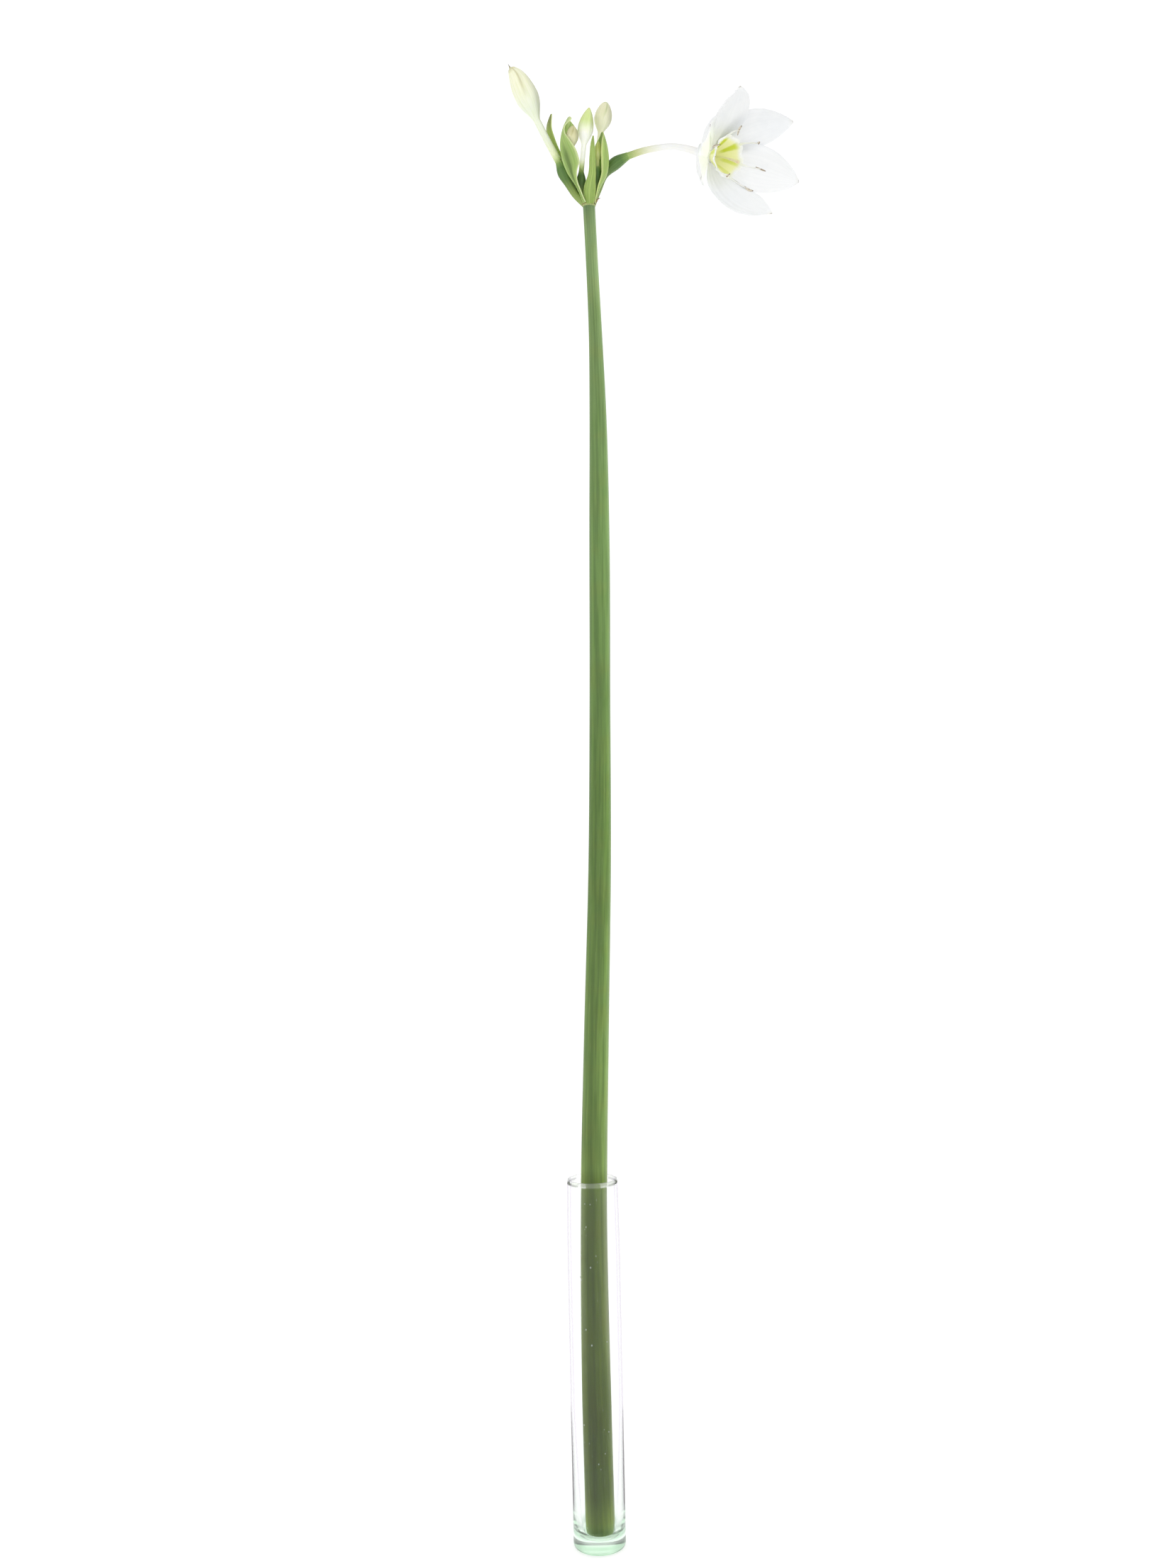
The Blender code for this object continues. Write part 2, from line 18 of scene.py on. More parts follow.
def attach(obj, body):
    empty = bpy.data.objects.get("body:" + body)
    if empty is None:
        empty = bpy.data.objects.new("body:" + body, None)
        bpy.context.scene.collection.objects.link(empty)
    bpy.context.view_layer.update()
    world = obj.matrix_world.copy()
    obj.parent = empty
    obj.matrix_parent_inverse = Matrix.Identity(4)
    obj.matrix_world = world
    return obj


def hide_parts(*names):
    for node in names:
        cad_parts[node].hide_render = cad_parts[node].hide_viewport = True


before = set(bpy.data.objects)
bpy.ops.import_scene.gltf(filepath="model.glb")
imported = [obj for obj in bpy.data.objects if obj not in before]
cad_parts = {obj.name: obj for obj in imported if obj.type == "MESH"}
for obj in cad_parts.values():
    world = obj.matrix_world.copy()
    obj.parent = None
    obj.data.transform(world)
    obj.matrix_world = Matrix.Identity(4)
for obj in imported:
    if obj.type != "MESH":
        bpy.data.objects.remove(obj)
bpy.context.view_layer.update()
MM = 0.001
print("CAD nodes:", ", ".join(sorted(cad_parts)))

# %% [markdown]
# ## Writing node trees as sums
#
# Shaders and Geometry Nodes are both graphs of small nodes. Adding each one by hand gets long, so
# one class wraps an output socket, and Python's + - * / ** on it add Math nodes. Anything that is
# not arithmetic comes from one method, which takes the node's type, its settings and its sockets.

# %% Operators
def operators(operation):
    """An operator of Wire, such as wire + 2, and its reflected form, 2 + wire."""

    def forward(wire, other):
        return wire.tree.maths(operation, wire, other)

    def reflected(wire, other):
        return wire.tree.maths(operation, other, wire)

    return forward, reflected


print("each operator comes with its reflected form")

# %% Wires
class Wire:
    """One output of a node. Arithmetic on it adds Math nodes to its tree."""

    __add__, __radd__ = operators("ADD")
    __sub__, __rsub__ = operators("SUBTRACT")
    __mul__, __rmul__ = operators("MULTIPLY")
    __truediv__, __rtruediv__ = operators("DIVIDE")
    __pow__, __rpow__ = operators("POWER")

    def __init__(self, tree, socket):
        self.tree = tree
        self.socket = socket

    def out(self, name):
        return Wire(self.tree, self.socket.node.outputs[name])

    def maths(self, operation, *others):
        """A Math node that takes this wire first."""
        return self.tree.maths(operation, self, *others)

    def __neg__(self):
        return self * -1.0

    def sin(self):
        return self.maths("SINE")

    def cos(self):
        return self.maths("COSINE")

    def bell(self, width):
        """1 at zero, falling smoothly to nothing a few widths away."""
        return (-((self / width) ** 2.0)).maths("EXPONENT")

    def fade(self, low, high):
        """0 at low and 1 at high, with soft ends."""
        settings = {"interpolation_type": "SMOOTHSTEP"}
        return self.tree.node("ShaderNodeMapRange", settings, {0: self, 1: low, 2: high})


print("five Python operators on a wire add Math nodes")

# %% Trees
class Tree:
    """A node tree that is filled by node() and by arithmetic on its wires."""

    def __init__(self, tree):
        self.tree = tree

    def node(self, kind, settings=None, sockets=None, output=0):
        made = self.tree.nodes.new(kind)
        for name, value in (settings or {}).items():
            if name == "stops":
                set_stops(made.color_ramp, value)
            else:
                setattr(made, name, value)
        for key, value in (sockets or {}).items():
            self.plug(made.inputs[key], value)
        return Wire(self, made.outputs[output]) if made.outputs else None

    def maths(self, operation, *numbers):
        return self.node("ShaderNodeMath", {"operation": operation}, dict(enumerate(numbers)))

    def plug(self, socket, value):
        if isinstance(value, Wire):
            self.tree.links.new(value.socket, socket)
        else:
            socket.default_value = value

    def parts(self, vector):
        """The three numbers of a vector."""
        split = self.node("ShaderNodeSeparateXYZ", sockets={0: vector})
        return split, split.out("Y"), split.out("Z")

    def joined(self, x, y, z):
        return self.node("ShaderNodeCombineXYZ", sockets={0: x, 1: y, 2: z})


def set_stops(ramp, stops):
    """Give a colour ramp its places and colours."""
    while len(ramp.elements) < len(stops):
        ramp.elements.new(1.0)
    for element, (place, colour) in zip(ramp.elements, stops):
        element.position = place
        element.color = colour


print("Tree.node adds any node, and Tree.maths a Math node")

# %% [markdown]
# ## Materials
#
# Each finish starts from the Principled shader. What is the same all over goes straight onto its
# sockets; what varies, such as colour, roughness and the small relief, is worked out by the tree.
# Colours are written as screen values from 0 to 255 and turned into the linear ones Blender mixes.

# %% Colours
def screen(red, green, blue):
    """Linear colour from screen values."""
    shares = [value / 255 for value in (red, green, blue)]
    linear = [s / 12.92 if s <= 0.04045 else ((s + 0.055) / 1.055) ** 2.4 for s in shares]
    return (*linear, 1.0)


def graded(*rows):
    """Stops of a colour ramp from rows of a place and three screen values."""
    return [(place, screen(*colour)) for place, *colour in rows]


def flesh(weight, reach, red=1.0, blue=0.8):
    """Sockets for flesh that light spreads in: how much of it, how far in metres, and the tint."""
    return {
        "Subsurface Weight": weight,
        "Subsurface Radius": (red, 1.0, blue),
        "Subsurface Scale": reach,
    }


print("mid grey on the screen is", round(screen(128, 128, 128)[0], 3), "to the shader")

# %% A finish
class Finish(Tree):
    """A material on one Principled shader."""

    def __init__(self, name, constants):
        self.material = bpy.data.materials.new(name)
        self.material.use_nodes = True
        super().__init__(self.material.node_tree)
        self.shader = self.tree.nodes["Principled BSDF"]
        for socket, value in constants.items():
            self.shader.inputs[socket].default_value = value

    def feed(self, socket, value):
        self.plug(self.shader.inputs[socket], value)

    def mix(self, factor, first, second, blend="MIX"):
        settings = {"blend_type": blend, "data_type": "RGBA"}
        return self.node("ShaderNodeMix", settings, {0: factor, 6: first, 7: second}, output=2)

    def tinted(self, colour, red, green, blue):
        """The colour times a tint."""
        return self.mix(1.0, colour, (red, green, blue, 1.0), "MULTIPLY")

    def ramp(self, value, stops):
        return self.node("ShaderNodeValToRGB", {"stops": stops}, {0: value})

    def noise(self, vector, scale, detail=3.0):
        sockets = {"Vector": vector, "Scale": scale, "Detail": detail}
        return self.node("ShaderNodeTexNoise", {}, sockets)

    def attribute(self, name, output="Fac"):
        return self.node("ShaderNodeAttribute", {"attribute_name": name}, output=output)

    def uv(self):
        """Across and along a blade or a bud, from its own UV map."""
        return self.parts(self.node("ShaderNodeUVMap", {"uv_map": "UVMap"}))[:2]

    def place(self):
        return self.node("ShaderNodeTexCoord", output="Object")

    def relief(self, height, distance, strength=1.0):
        sockets = {"Height": height, "Distance": distance, "Strength": strength}
        self.feed("Normal", self.node("ShaderNodeBump", {}, sockets))


print("a finish mixes, tints, ramps and reads the mesh's own attributes")

# %% [markdown]
# ## From rows of points to a mesh
#
# Petals, bracts and buds are all one thing to a modeller: rows of points laid across a shape, one
# row after another from its foot to its tip, and joined by faces. The same weave gives a UV map
# that runs across and along, so that veins can follow the growth. A blade is then given its wall
# by Solidify and rounded by Subdivision Surface.

# %% Smooth lines
def smooth_rows(rows, count):
    """Rows of numbers read at even steps along a smooth curve through the given rows."""
    rows = np.array(rows, float)
    steps = np.linalg.norm(np.diff(rows[:, :3], axis=0), axis=1)
    places = np.concatenate(([0.0], np.cumsum(steps)))
    slopes = np.gradient(rows, places, axis=0)
    wanted = np.linspace(0.0, places[-1], count)
    span = np.clip(np.searchsorted(places, wanted, side="right") - 1, 0, len(steps) - 1)
    width = steps[span][:, None]
    s = ((wanted - places[span]) / steps[span])[:, None]
    start, end = rows[span], rows[span + 1]
    return (
        (2 * s**3 - 3 * s**2 + 1) * start
        + (s**3 - 2 * s**2 + s) * width * slopes[span]
        + (3 * s**2 - 2 * s**3) * end
        + (s**3 - s**2) * width * slopes[span + 1]
    )


print("a quarter along a bent line:", smooth_rows(((0, 0, 0), (1, 2, 0), (2, 0, 0)), 5)[1].round(2))

# %% Woven meshes
def woven(name, rows, closed=False, poles=(False, False)):
    """A mesh from rows of points in millimetres, with its UV map across and along."""
    rows = np.array(rows, float) * MM
    along, across = rows.shape[:2]
    columns = across if closed else across - 1
    points = rows.reshape(-1, 3).tolist()
    faces, places = [], []
    for i in range(along - 1):
        for j in range(columns):
            k = (j + 1) % across
            low, high = i * across, (i + 1) * across
            faces.append((low + j, low + k, high + k, high + j))
            places += [(j, i), (j + 1, i), (j + 1, i + 1), (j, i + 1)]
    for pole, i in zip(poles, (0, along - 1)):
        if pole:
            points.append(rows[i].mean(axis=0).tolist())
            for j in range(columns):
                pair = [(i * across + j, (j, i)), (i * across + (j + 1) % across, (j + 1, i))]
                pair = pair if i == 0 else pair[::-1]
                faces.append((pair[1][0], pair[0][0], len(points) - 1))
                places += [pair[1][1], pair[0][1], (j + 0.5, i)]
    mesh = bpy.data.meshes.new(name)
    mesh.from_pydata(points, [], faces)
    layer = mesh.uv_layers.new(name="UVMap")
    scale = (1 / columns, 1 / (along - 1))
    layer.data.foreach_set("uv", (np.array(places) * scale).astype(np.float32).ravel())
    return mesh


def marked(mesh, name, values, kind="FLOAT"):
    """Store a number or a vector at each point of a mesh, for a material or a tree to read."""
    layer = mesh.attributes.new(name, kind, "POINT")
    key = "value" if kind == "FLOAT" else "vector"
    layer.data.foreach_set(key, np.array(values, np.float32).ravel())
    return mesh


print("a mesh is woven from rows in millimetres")

# %% Plain meshes
def plain_mesh(source):
    """What an object with modifiers shows, as a plain mesh; the object goes."""
    bpy.context.view_layer.update()
    evaluated = source.evaluated_get(bpy.context.evaluated_depsgraph_get())
    mesh = bpy.data.meshes.new_from_object(evaluated)
    mesh.transform(source.matrix_world)
    bpy.data.objects.remove(source)
    return mesh


def loose_object(name, data):
    made = bpy.data.objects.new(name, data)
    bpy.context.scene.collection.objects.link(made)
    return made


print("what modifiers make ends as a plain mesh")

# %% Walls
def given_wall(mesh, wall):
    """A blade's mesh with its thickness in millimetres, rounded."""
    blade = loose_object("blade", mesh)
    solid = blade.modifiers.new("Wall", "SOLIDIFY")
    solid.thickness = wall * MM
    solid.offset = 0.0
    soft = blade.modifiers.new("Soft", "SUBSURF")
    soft.levels = 1
    soft.render_levels = 1
    return plain_mesh(blade)


print("a blade is thickened both ways from its middle")

# %% Closed and merged meshes
DOUBLES = 0.002 * MM


def outward(mesh):
    """Merge doubles and turn every face of a closed mesh outwards."""
    work = bmesh.new()
    work.from_mesh(mesh)
    bmesh.ops.remove_doubles(work, verts=work.verts, dist=DOUBLES)
    bmesh.ops.recalc_face_normals(work, faces=work.faces)
    work.to_mesh(mesh)
    work.free()
    return mesh


def merged(name, meshes):
    """Several meshes in one, with their attributes."""
    work = bmesh.new()
    for mesh in meshes:
        work.from_mesh(mesh)
    whole = bpy.data.meshes.new(name)
    work.to_mesh(whole)
    work.free()
    return whole


print("points closer than", DOUBLES, "m are merged")

# %% Finished pieces
def piece(name, mesh, material, stands_for):
    """A finished piece of the lily: smooth, with its material, riding where the CAD node is."""
    mesh.name = name
    mesh.materials.clear()
    mesh.materials.append(material)
    mesh.shade_smooth()
    made = loose_object(name, mesh)
    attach(made, "root")
    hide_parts(stands_for)
    print(f"{name}: {sum(len(p.vertices) - 2 for p in mesh.polygons)} triangles")


print("each piece takes the place of a CAD node and rides its body")

# %% [markdown]
# ## The camera
#
# The picture is taken from a little over 0.9 m away, level with the middle of the stem, with the
# camera tipped a degree to one side. Working back from the vase's and the stem's outlines gives a
# 39 mm lens on a 36 mm sensor. The camera comes first, so that every later look is comparable.

# %% Camera
CAMERA_PLACE = (2.2, -925.0, 414.3)
CAMERA_ROLL = radians(1.2)
LENS = 39.06

camera_data = bpy.data.cameras.new("camera")
camera_data.lens = LENS
camera_data.sensor_width = 36.0
camera = loose_object("camera", camera_data)
right = Vector((cos(CAMERA_ROLL), 0.0, -sin(CAMERA_ROLL)))
up = Vector((sin(CAMERA_ROLL), 0.0, cos(CAMERA_ROLL)))
back = Vector((0.0, -1.0, 0.0))
aim = Matrix((right, up, back)).transposed().to_4x4()
camera.matrix_world = Matrix.Translation(Vector(CAMERA_PLACE) * MM) @ aim
bpy.context.scene.camera = camera
print("camera at", tuple(round(v, 3) for v in camera.location))

# %% [markdown]
# ## Light
#
# A lily on white is lit from behind and above as much as from the front: the white beyond it makes
# the petals glow and leaves the glass as thin grey lines. A plain world does that, the same all
# round but brighter on the far side. Two soft lamps at the sides give the glass its highlights,
# and a large one in front reaches in between the bracts. The floor is a pale matt sheet that glows
# from below, like a light table, so that it lights the thick glass foot from underneath. It fades
# away towards its round edge, and melts into the same white.

# %% The white all round
BACK_BRIGHTNESS = 1.12
ROUND_BRIGHTNESS = 0.8
OVERHEAD_DIMMING = 0.15
WHITE = (1.0, 1.0, 1.0, 1.0)

scene = bpy.context.scene
scene.view_settings.view_transform = "Standard"
world = bpy.data.worlds.new("studio")
world.use_nodes = True
scene.world = world
sky = Tree(world.node_tree)
_, depth, height = sky.parts(sky.node("ShaderNodeTexCoord", output="Generated"))
brightness = ROUND_BRIGHTNESS + (BACK_BRIGHTNESS - ROUND_BRIGHTNESS) * depth.fade(0.45, 0.85)
brightness = brightness - OVERHEAD_DIMMING * height.fade(0.5, 1.0)
surroundings = world.node_tree.nodes["Background"].inputs
sky.plug(surroundings["Color"], WHITE)
sky.plug(surroundings["Strength"], brightness)
print("the world is", BACK_BRIGHTNESS, "bright behind and", ROUND_BRIGHTNESS, "elsewhere")

# %% Lamps
LAMP_AIM = Vector((0.02, 0.0, 0.45))


def soft_lamp(name, place, size, power):
    """A square soft lamp that looks at the flower's height over the vase."""
    data = bpy.data.lights.new(name, "AREA")
    data.size = size
    data.energy = power
    lamp = loose_object(name, data)
    lamp.location = place
    lamp.rotation_mode = "QUATERNION"
    lamp.rotation_quaternion = (LAMP_AIM - lamp.location).to_track_quat("-Z", "Y")


soft_lamp("lamp_right", (1.3, -1.0, 1.5), 0.9, 3.0)
soft_lamp("lamp_left", (-1.2, -1.2, 1.3), 0.9, 3.0)
soft_lamp("lamp_front", (-0.2, -1.9, 0.85), 1.6, 2.0)

# %% The floor
FLOOR_RADIUS = 3.0
FLOOR_FADE = (1.3, 2.95)
FLOOR_GLOW = 0.62

floor_mesh = bpy.data.meshes.new("floor")
work = bmesh.new()
bmesh.ops.create_circle(work, cap_ends=True, segments=96, radius=FLOOR_RADIUS)
work.to_mesh(floor_mesh)
work.free()
pale = Finish(
    "pale_floor",
    {
        "Roughness": 0.7,
        "Specular IOR Level": 0.2,
        "Emission Color": WHITE,
        "Emission Strength": FLOOR_GLOW,
    },
)
grain = pale.noise(pale.place(), 9.0)
pale.feed("Base Color", pale.mix(grain, screen(196, 196, 196), screen(200, 200, 200)))
across, deep, _ = pale.parts(pale.place())
pale.feed("Alpha", 1 - ((across * across + deep * deep) ** 0.5).fade(*FLOOR_FADE))
floor_mesh.materials.append(pale.material)
floor = loose_object("floor", floor_mesh)
print("floor", 2 * FLOOR_RADIUS, "m wide")

# %% [markdown]
# ## The glass
#
# The vase is a drawn glass tube, thin at the lip and thick at the foot. It is a turned shape, so a
# profile and the Screw modifier make it. Clear glass is only green where there is a lot of it:
# the colour comes from the glass soaking up a little red and blue on the way through, so most of
# it goes in the volume. On the surface, the edges that turn away carry a painted violet
# reflection, and a darker green band low in the foot is painted shade. The lip and the foot,
# where light from the table wells up, are less opaque and carry a painted glow.

# %% Vase sizes
VASE_HEIGHT = 200.0
VASE_RADIUS = 14.3
VASE_RIM_RADIUS = 13.7
VASE_WALL = 1.5
VASE_TAPER_HEIGHT = 45.0
VASE_FOOT_RADIUS = 12.0
VASE_FOOT_ROUND = 3.0
CAVITY_FLOOR = 6.0
CAVITY_FLOOR_RADIUS = 9.6
CAVITY_FLOOR_ROUND = 6.0
THICK_WALL_TOP = 77.0
INNER_WALL_FOOT = 15.0
OUTER_WALL_FOOT = 6.0
LIP_ZONE = 3.0
FOOT_HOLLOW = 0.5
VASE_STEPS = 144
print("the vase is", VASE_HEIGHT, "mm tall and", 2 * VASE_RADIUS, "mm wide")

# %% Vase walls
def vase_outer_radius(height):
    """Straight tube that draws in a little to the rim."""
    drawn = max(0.0, height - (VASE_HEIGHT - VASE_TAPER_HEIGHT)) / VASE_TAPER_HEIGHT
    return VASE_RADIUS - (VASE_RADIUS - VASE_RIM_RADIUS) * drawn**1.5


def vase_inner_radius(height):
    """Thin wall above, which thickens towards the foot."""
    low = max(0.0, THICK_WALL_TOP - height) / (THICK_WALL_TOP - CAVITY_FLOOR)
    narrow = VASE_RADIUS - VASE_WALL - CAVITY_FLOOR_RADIUS
    return vase_outer_radius(height) - VASE_WALL - narrow * low**1.4


low_wall = vase_outer_radius(INNER_WALL_FOOT) - vase_inner_radius(INNER_WALL_FOOT)
print("the wall is", round(low_wall, 1), "mm thick at its foot and", VASE_WALL, "mm at the lip")

# %% Vase profile
def arc(centre_radius, centre_height, radius, height, first, last, count):
    """Points on an oval arc, from one angle to another in degrees."""
    turns = np.radians(np.linspace(first, last, count))
    across, up = radius * np.cos(turns), height * np.sin(turns)
    return list(zip(centre_radius + across, centre_height + up))


def vase_profile():
    """Down the inside from the lip, over the lip and down the outside, to the hollow foot."""
    flat = CAVITY_FLOOR_RADIUS - CAVITY_FLOOR_ROUND
    bend = CAVITY_FLOOR + CAVITY_FLOOR_ROUND
    points = [(0.0, CAVITY_FLOOR), (flat * 0.5, CAVITY_FLOOR)]
    points += arc(flat, bend, CAVITY_FLOOR_ROUND, CAVITY_FLOOR_ROUND, -90, -6, 12)
    wall_top = VASE_HEIGHT - LIP_ZONE
    points += [(vase_inner_radius(h), h) for h in np.linspace(INNER_WALL_FOOT, wall_top, 60)]
    lip = VASE_WALL / 2
    points += arc(VASE_RIM_RADIUS - lip, VASE_HEIGHT - lip, lip, lip, 180, 0, 13)
    points += [(vase_outer_radius(h), h) for h in np.linspace(wall_top, OUTER_WALL_FOOT, 40)]
    side = VASE_RADIUS - VASE_FOOT_RADIUS
    points += arc(VASE_FOOT_RADIUS, VASE_FOOT_ROUND, side, VASE_FOOT_ROUND, 0, -90, 9)
    shares = (0.85, 0.7, 0.5, 0.3, 0.15, 0.0)
    points += [(VASE_FOOT_RADIUS * s, FOOT_HOLLOW * (1 - s**2)) for s in shares]
    return points


print("the profile has", len(vase_profile()), "points")

# %% Turned shapes
def turned(name, profile, steps):
    """Radius and height pairs spun round the Z axis."""
    mesh = bpy.data.meshes.new(name)
    points = [(radius * MM, 0.0, height * MM) for radius, height in profile]
    mesh.from_pydata(points, [(i, i + 1) for i in range(len(points) - 1)], [])
    shape = loose_object(name, mesh)
    spin = shape.modifiers.new("Spin", "SCREW")
    spin.angle = tau
    spin.steps = steps
    spin.render_steps = steps
    spin.use_merge_vertices = True
    spin.merge_threshold = 0.00002
    return outward(plain_mesh(shape))


print("a turned shape is its profile in", VASE_STEPS, "steps round the axis")

# %% Zones of the glass
LIP_FADE = (0.197, 0.1985)
EDGE_TINT_FADE = (0.013, 0.03)
FOOT_FADE = (0.006, 0.014)
FOOT_TINT_FADE = (0.0045, 0.0065)
FOOT_TINT = screen(188, 228, 194)
# A darker green band painted low in the foot, as painted shade.
PAINTED_SHADE_HEIGHT = 0.011
PAINTED_SHADE_TINT = screen(160, 188, 168)
# Height where the painted glow of the foot is brightest.
PAINTED_GLOW_HEIGHT = 0.0077
BLACK = (0.0, 0.0, 0.0, 1.0)
print("the foot gleams most", PAINTED_GLOW_HEIGHT, "m up, and the lip from", LIP_FADE[0], "m")

# %% Clear glass
def clear_glass():
    """Glass with green depth, a painted violet edge reflection, painted shade, and painted glow at
    lip and foot.
    """
    glass = Finish(
        "clear_glass",
        {
            "Transmission Weight": 1.0,
            "IOR": 1.5,
            "Specular Tint": (0.3, 0.32, 0.31, 1.0),
            "Emission Strength": 1.0,
        },
    )
    place = glass.place()
    streaks = glass.noise(place, 60.0, 2.0)
    turning = glass.node("ShaderNodeLayerWeight", sockets={"Blend": 0.5}, output="Facing")
    _, _, height = glass.parts(place)
    # Painted reflection: the edges that turn away are tinted violet.
    painted_violet_edge = turning.fade(0.5, 0.85) * height.fade(*EDGE_TINT_FADE)
    colour = glass.mix(painted_violet_edge, WHITE, screen(206, 186, 218))
    foot = 1.0 - height.fade(*FOOT_TINT_FADE)
    colour = glass.mix(foot * 0.65, colour, FOOT_TINT)
    # Painted shade: a darker green band low in the foot.
    painted_shade_band = (height - PAINTED_SHADE_HEIGHT).bell(0.0028)
    glass.feed("Base Color", glass.mix(painted_shade_band * 0.6, colour, PAINTED_SHADE_TINT))
    lip = height.fade(*LIP_FADE)
    # Painted glow at the lip and low in the foot, for light from the table.
    painted_glow = 0.16 * lip + 0.3 * (height - PAINTED_GLOW_HEIGHT).bell(0.0013)
    glass.feed("Emission Color", glass.mix(painted_glow, BLACK, WHITE))
    glass.feed("Roughness", 0.01 * streaks.fade(0.55, 0.8))
    glass.feed("Alpha", 1.0 - 0.65 * lip - 0.15 * (1.0 - height.fade(*FOOT_FADE)))
    soak = {"Color": (0.30, 0.90, 0.42, 1.0), "Density": 10.0}
    volume = glass.node("ShaderNodeVolumeAbsorption", {}, soak)
    glass.plug(glass.tree.nodes["Material Output"].inputs["Volume"], volume)
    return glass.material


GLASS = clear_glass()
vase_mesh = turned("vase", vase_profile(), VASE_STEPS)
piece("vase_glass", vase_mesh, GLASS, "vase")

# %% [markdown]
# ## Beads of water
#
# A few small drops cling to the inside of the tube, and some gather low down on one side. Nobody
# would set each by hand, so a Geometry Nodes tree scatters small beads over a patch of the wall,
# each with its own size, drawn out a little by its weight. The seed is fixed, so they stay put.
# The beads are painted near white, as painted glints.

# %% Geometry Nodes helpers
def new_geometry_tree(name, inputs):
    """A Geometry Nodes tree with a geometry input, named inputs and their defaults."""
    group = bpy.data.node_groups.new(name, "GeometryNodeTree")
    face = group.interface
    face.new_socket("Geometry", in_out="OUTPUT", socket_type="NodeSocketGeometry")
    face.new_socket("Geometry", in_out="INPUT", socket_type="NodeSocketGeometry")
    for label, kind, value in inputs:
        socket = face.new_socket(label, in_out="INPUT", socket_type="NodeSocket" + kind)
        if value is not None:
            socket.default_value = value
    tree = Tree(group)
    start = tree.node("NodeGroupInput")
    return tree, start


def end_tree(tree, geometry, material):
    """Every tree ends in real geometry with its material."""
    real = tree.node("GeometryNodeRealizeInstances", sockets={0: geometry})
    dressed = tree.node("GeometryNodeSetMaterial", sockets={"Geometry": real, "Material": material})
    tree.node("NodeGroupOutput", sockets={0: dressed})


def stored(tree, geometry, name, value, kind="FLOAT"):
    settings = {"data_type": kind, "domain": "POINT"}
    sockets = {"Geometry": geometry, "Name": name, "Value": value}
    return tree.node("GeometryNodeStoreNamedAttribute", settings, sockets)


def grown(source, tree, values):
    """Run a tree on an object and return the plain mesh."""
    modifier = source.modifiers.new("Grow", "NODES")
    modifier.node_group = tree.tree
    for item in tree.tree.interface.items_tree:
        if item.item_type == "SOCKET" and item.in_out == "INPUT" and item.name in values:
            modifier[item.identifier] = values[item.name]
    return plain_mesh(source)


print("helpers for Geometry Nodes are ready")

# %% The bead tree
def bead_tree():
    inputs = (
        ("Amount", "Float", 9000.0),
        ("Seed", "Int", 5),
        ("Smallest", "Float", 0.0001),
        ("Largest", "Float", 0.0004),
        ("Material", "Material", None),
    )
    tree, start = new_geometry_tree("Beads", inputs)
    seed = start.out("Seed")
    seeded = {"Mesh": start.out("Geometry"), "Density": start.out("Amount"), "Seed": seed}
    spots = tree.node("GeometryNodeDistributePointsOnFaces", {}, seeded)
    bead = tree.node("GeometryNodeMeshIcoSphere", sockets={"Radius": 1.0, "Subdivisions": 2})
    sizes = {2: start.out("Smallest"), 3: start.out("Largest"), 8: seed}
    size = tree.node("FunctionNodeRandomValue", {"data_type": "FLOAT"}, sizes, output=1)
    drawn = tree.joined(size * 0.7, size * 0.7, size * 1.5)
    sockets = {"Points": spots, "Instance": bead, "Scale": drawn}
    beads = tree.node("GeometryNodeInstanceOnPoints", sockets=sockets)
    end_tree(tree, beads, start.out("Material"))
    return tree


BEADS = bead_tree()
print("bead tree has", len(BEADS.tree.nodes), "nodes")

# %% Beads on the glass
def wall_patch(radius, low, high, first, last):
    """A bare strip of the tube's inner wall, for the beads to sit on; angles in degrees."""
    turns = np.radians(np.linspace(first, last, 25))
    heights = np.linspace(low, high, 13)
    rows = [[(radius * cos(a), radius * sin(a), h) for a in turns] for h in heights]
    return loose_object("patch", woven("patch", rows))


def water():
    """Drops painted near white and mostly opaque, as painted glints."""
    bead = Finish("bead_water", {"Roughness": 0.08, "IOR": 1.33, "Specular IOR Level": 0.9})
    shimmer = bead.noise(bead.place(), 3000.0, 2.0)
    # Painted glint: the beads are near white all over.
    bead.feed("Base Color", bead.mix(shimmer, screen(236, 244, 236), screen(254, 255, 254)))
    bead.feed("Alpha", 0.8 + 0.2 * shimmer)
    return bead.material


WATER_GLINT = water()
BEAD_SETTINGS = ("Amount", "Seed", "Smallest", "Largest")
BEAD_PATCHES = (
    ((12.3, 34.0, 192.0, -128.0, -55.0), (9000.0, 5, 0.0001, 0.00036)),
    ((10.4, 14.0, 24.0, -150.0, -118.0), (60000.0, 3, 0.00012, 0.00034)),
)
bead_meshes = []
for where, settings in BEAD_PATCHES:
    values = {**dict(zip(BEAD_SETTINGS, settings)), "Material": WATER_GLINT}
    bead_meshes.append(grown(wall_patch(*where), BEADS, values))
piece("water_beads", merged("water_beads", bead_meshes), WATER_GLINT, "vase")

# %% [markdown]
# ## A stalk that follows a path
#
# The stem, the flower stalks and the flower's tube are all round stalks on a curve, thick and thin
# by turns, with shallow ribs. One Geometry Nodes tree makes them: it sweeps a ribbed ring along a
# curve and scales it by the curve's radius. It also stores how far along and which way round each
# point lies, so that the skin's streaks can follow the stalk.

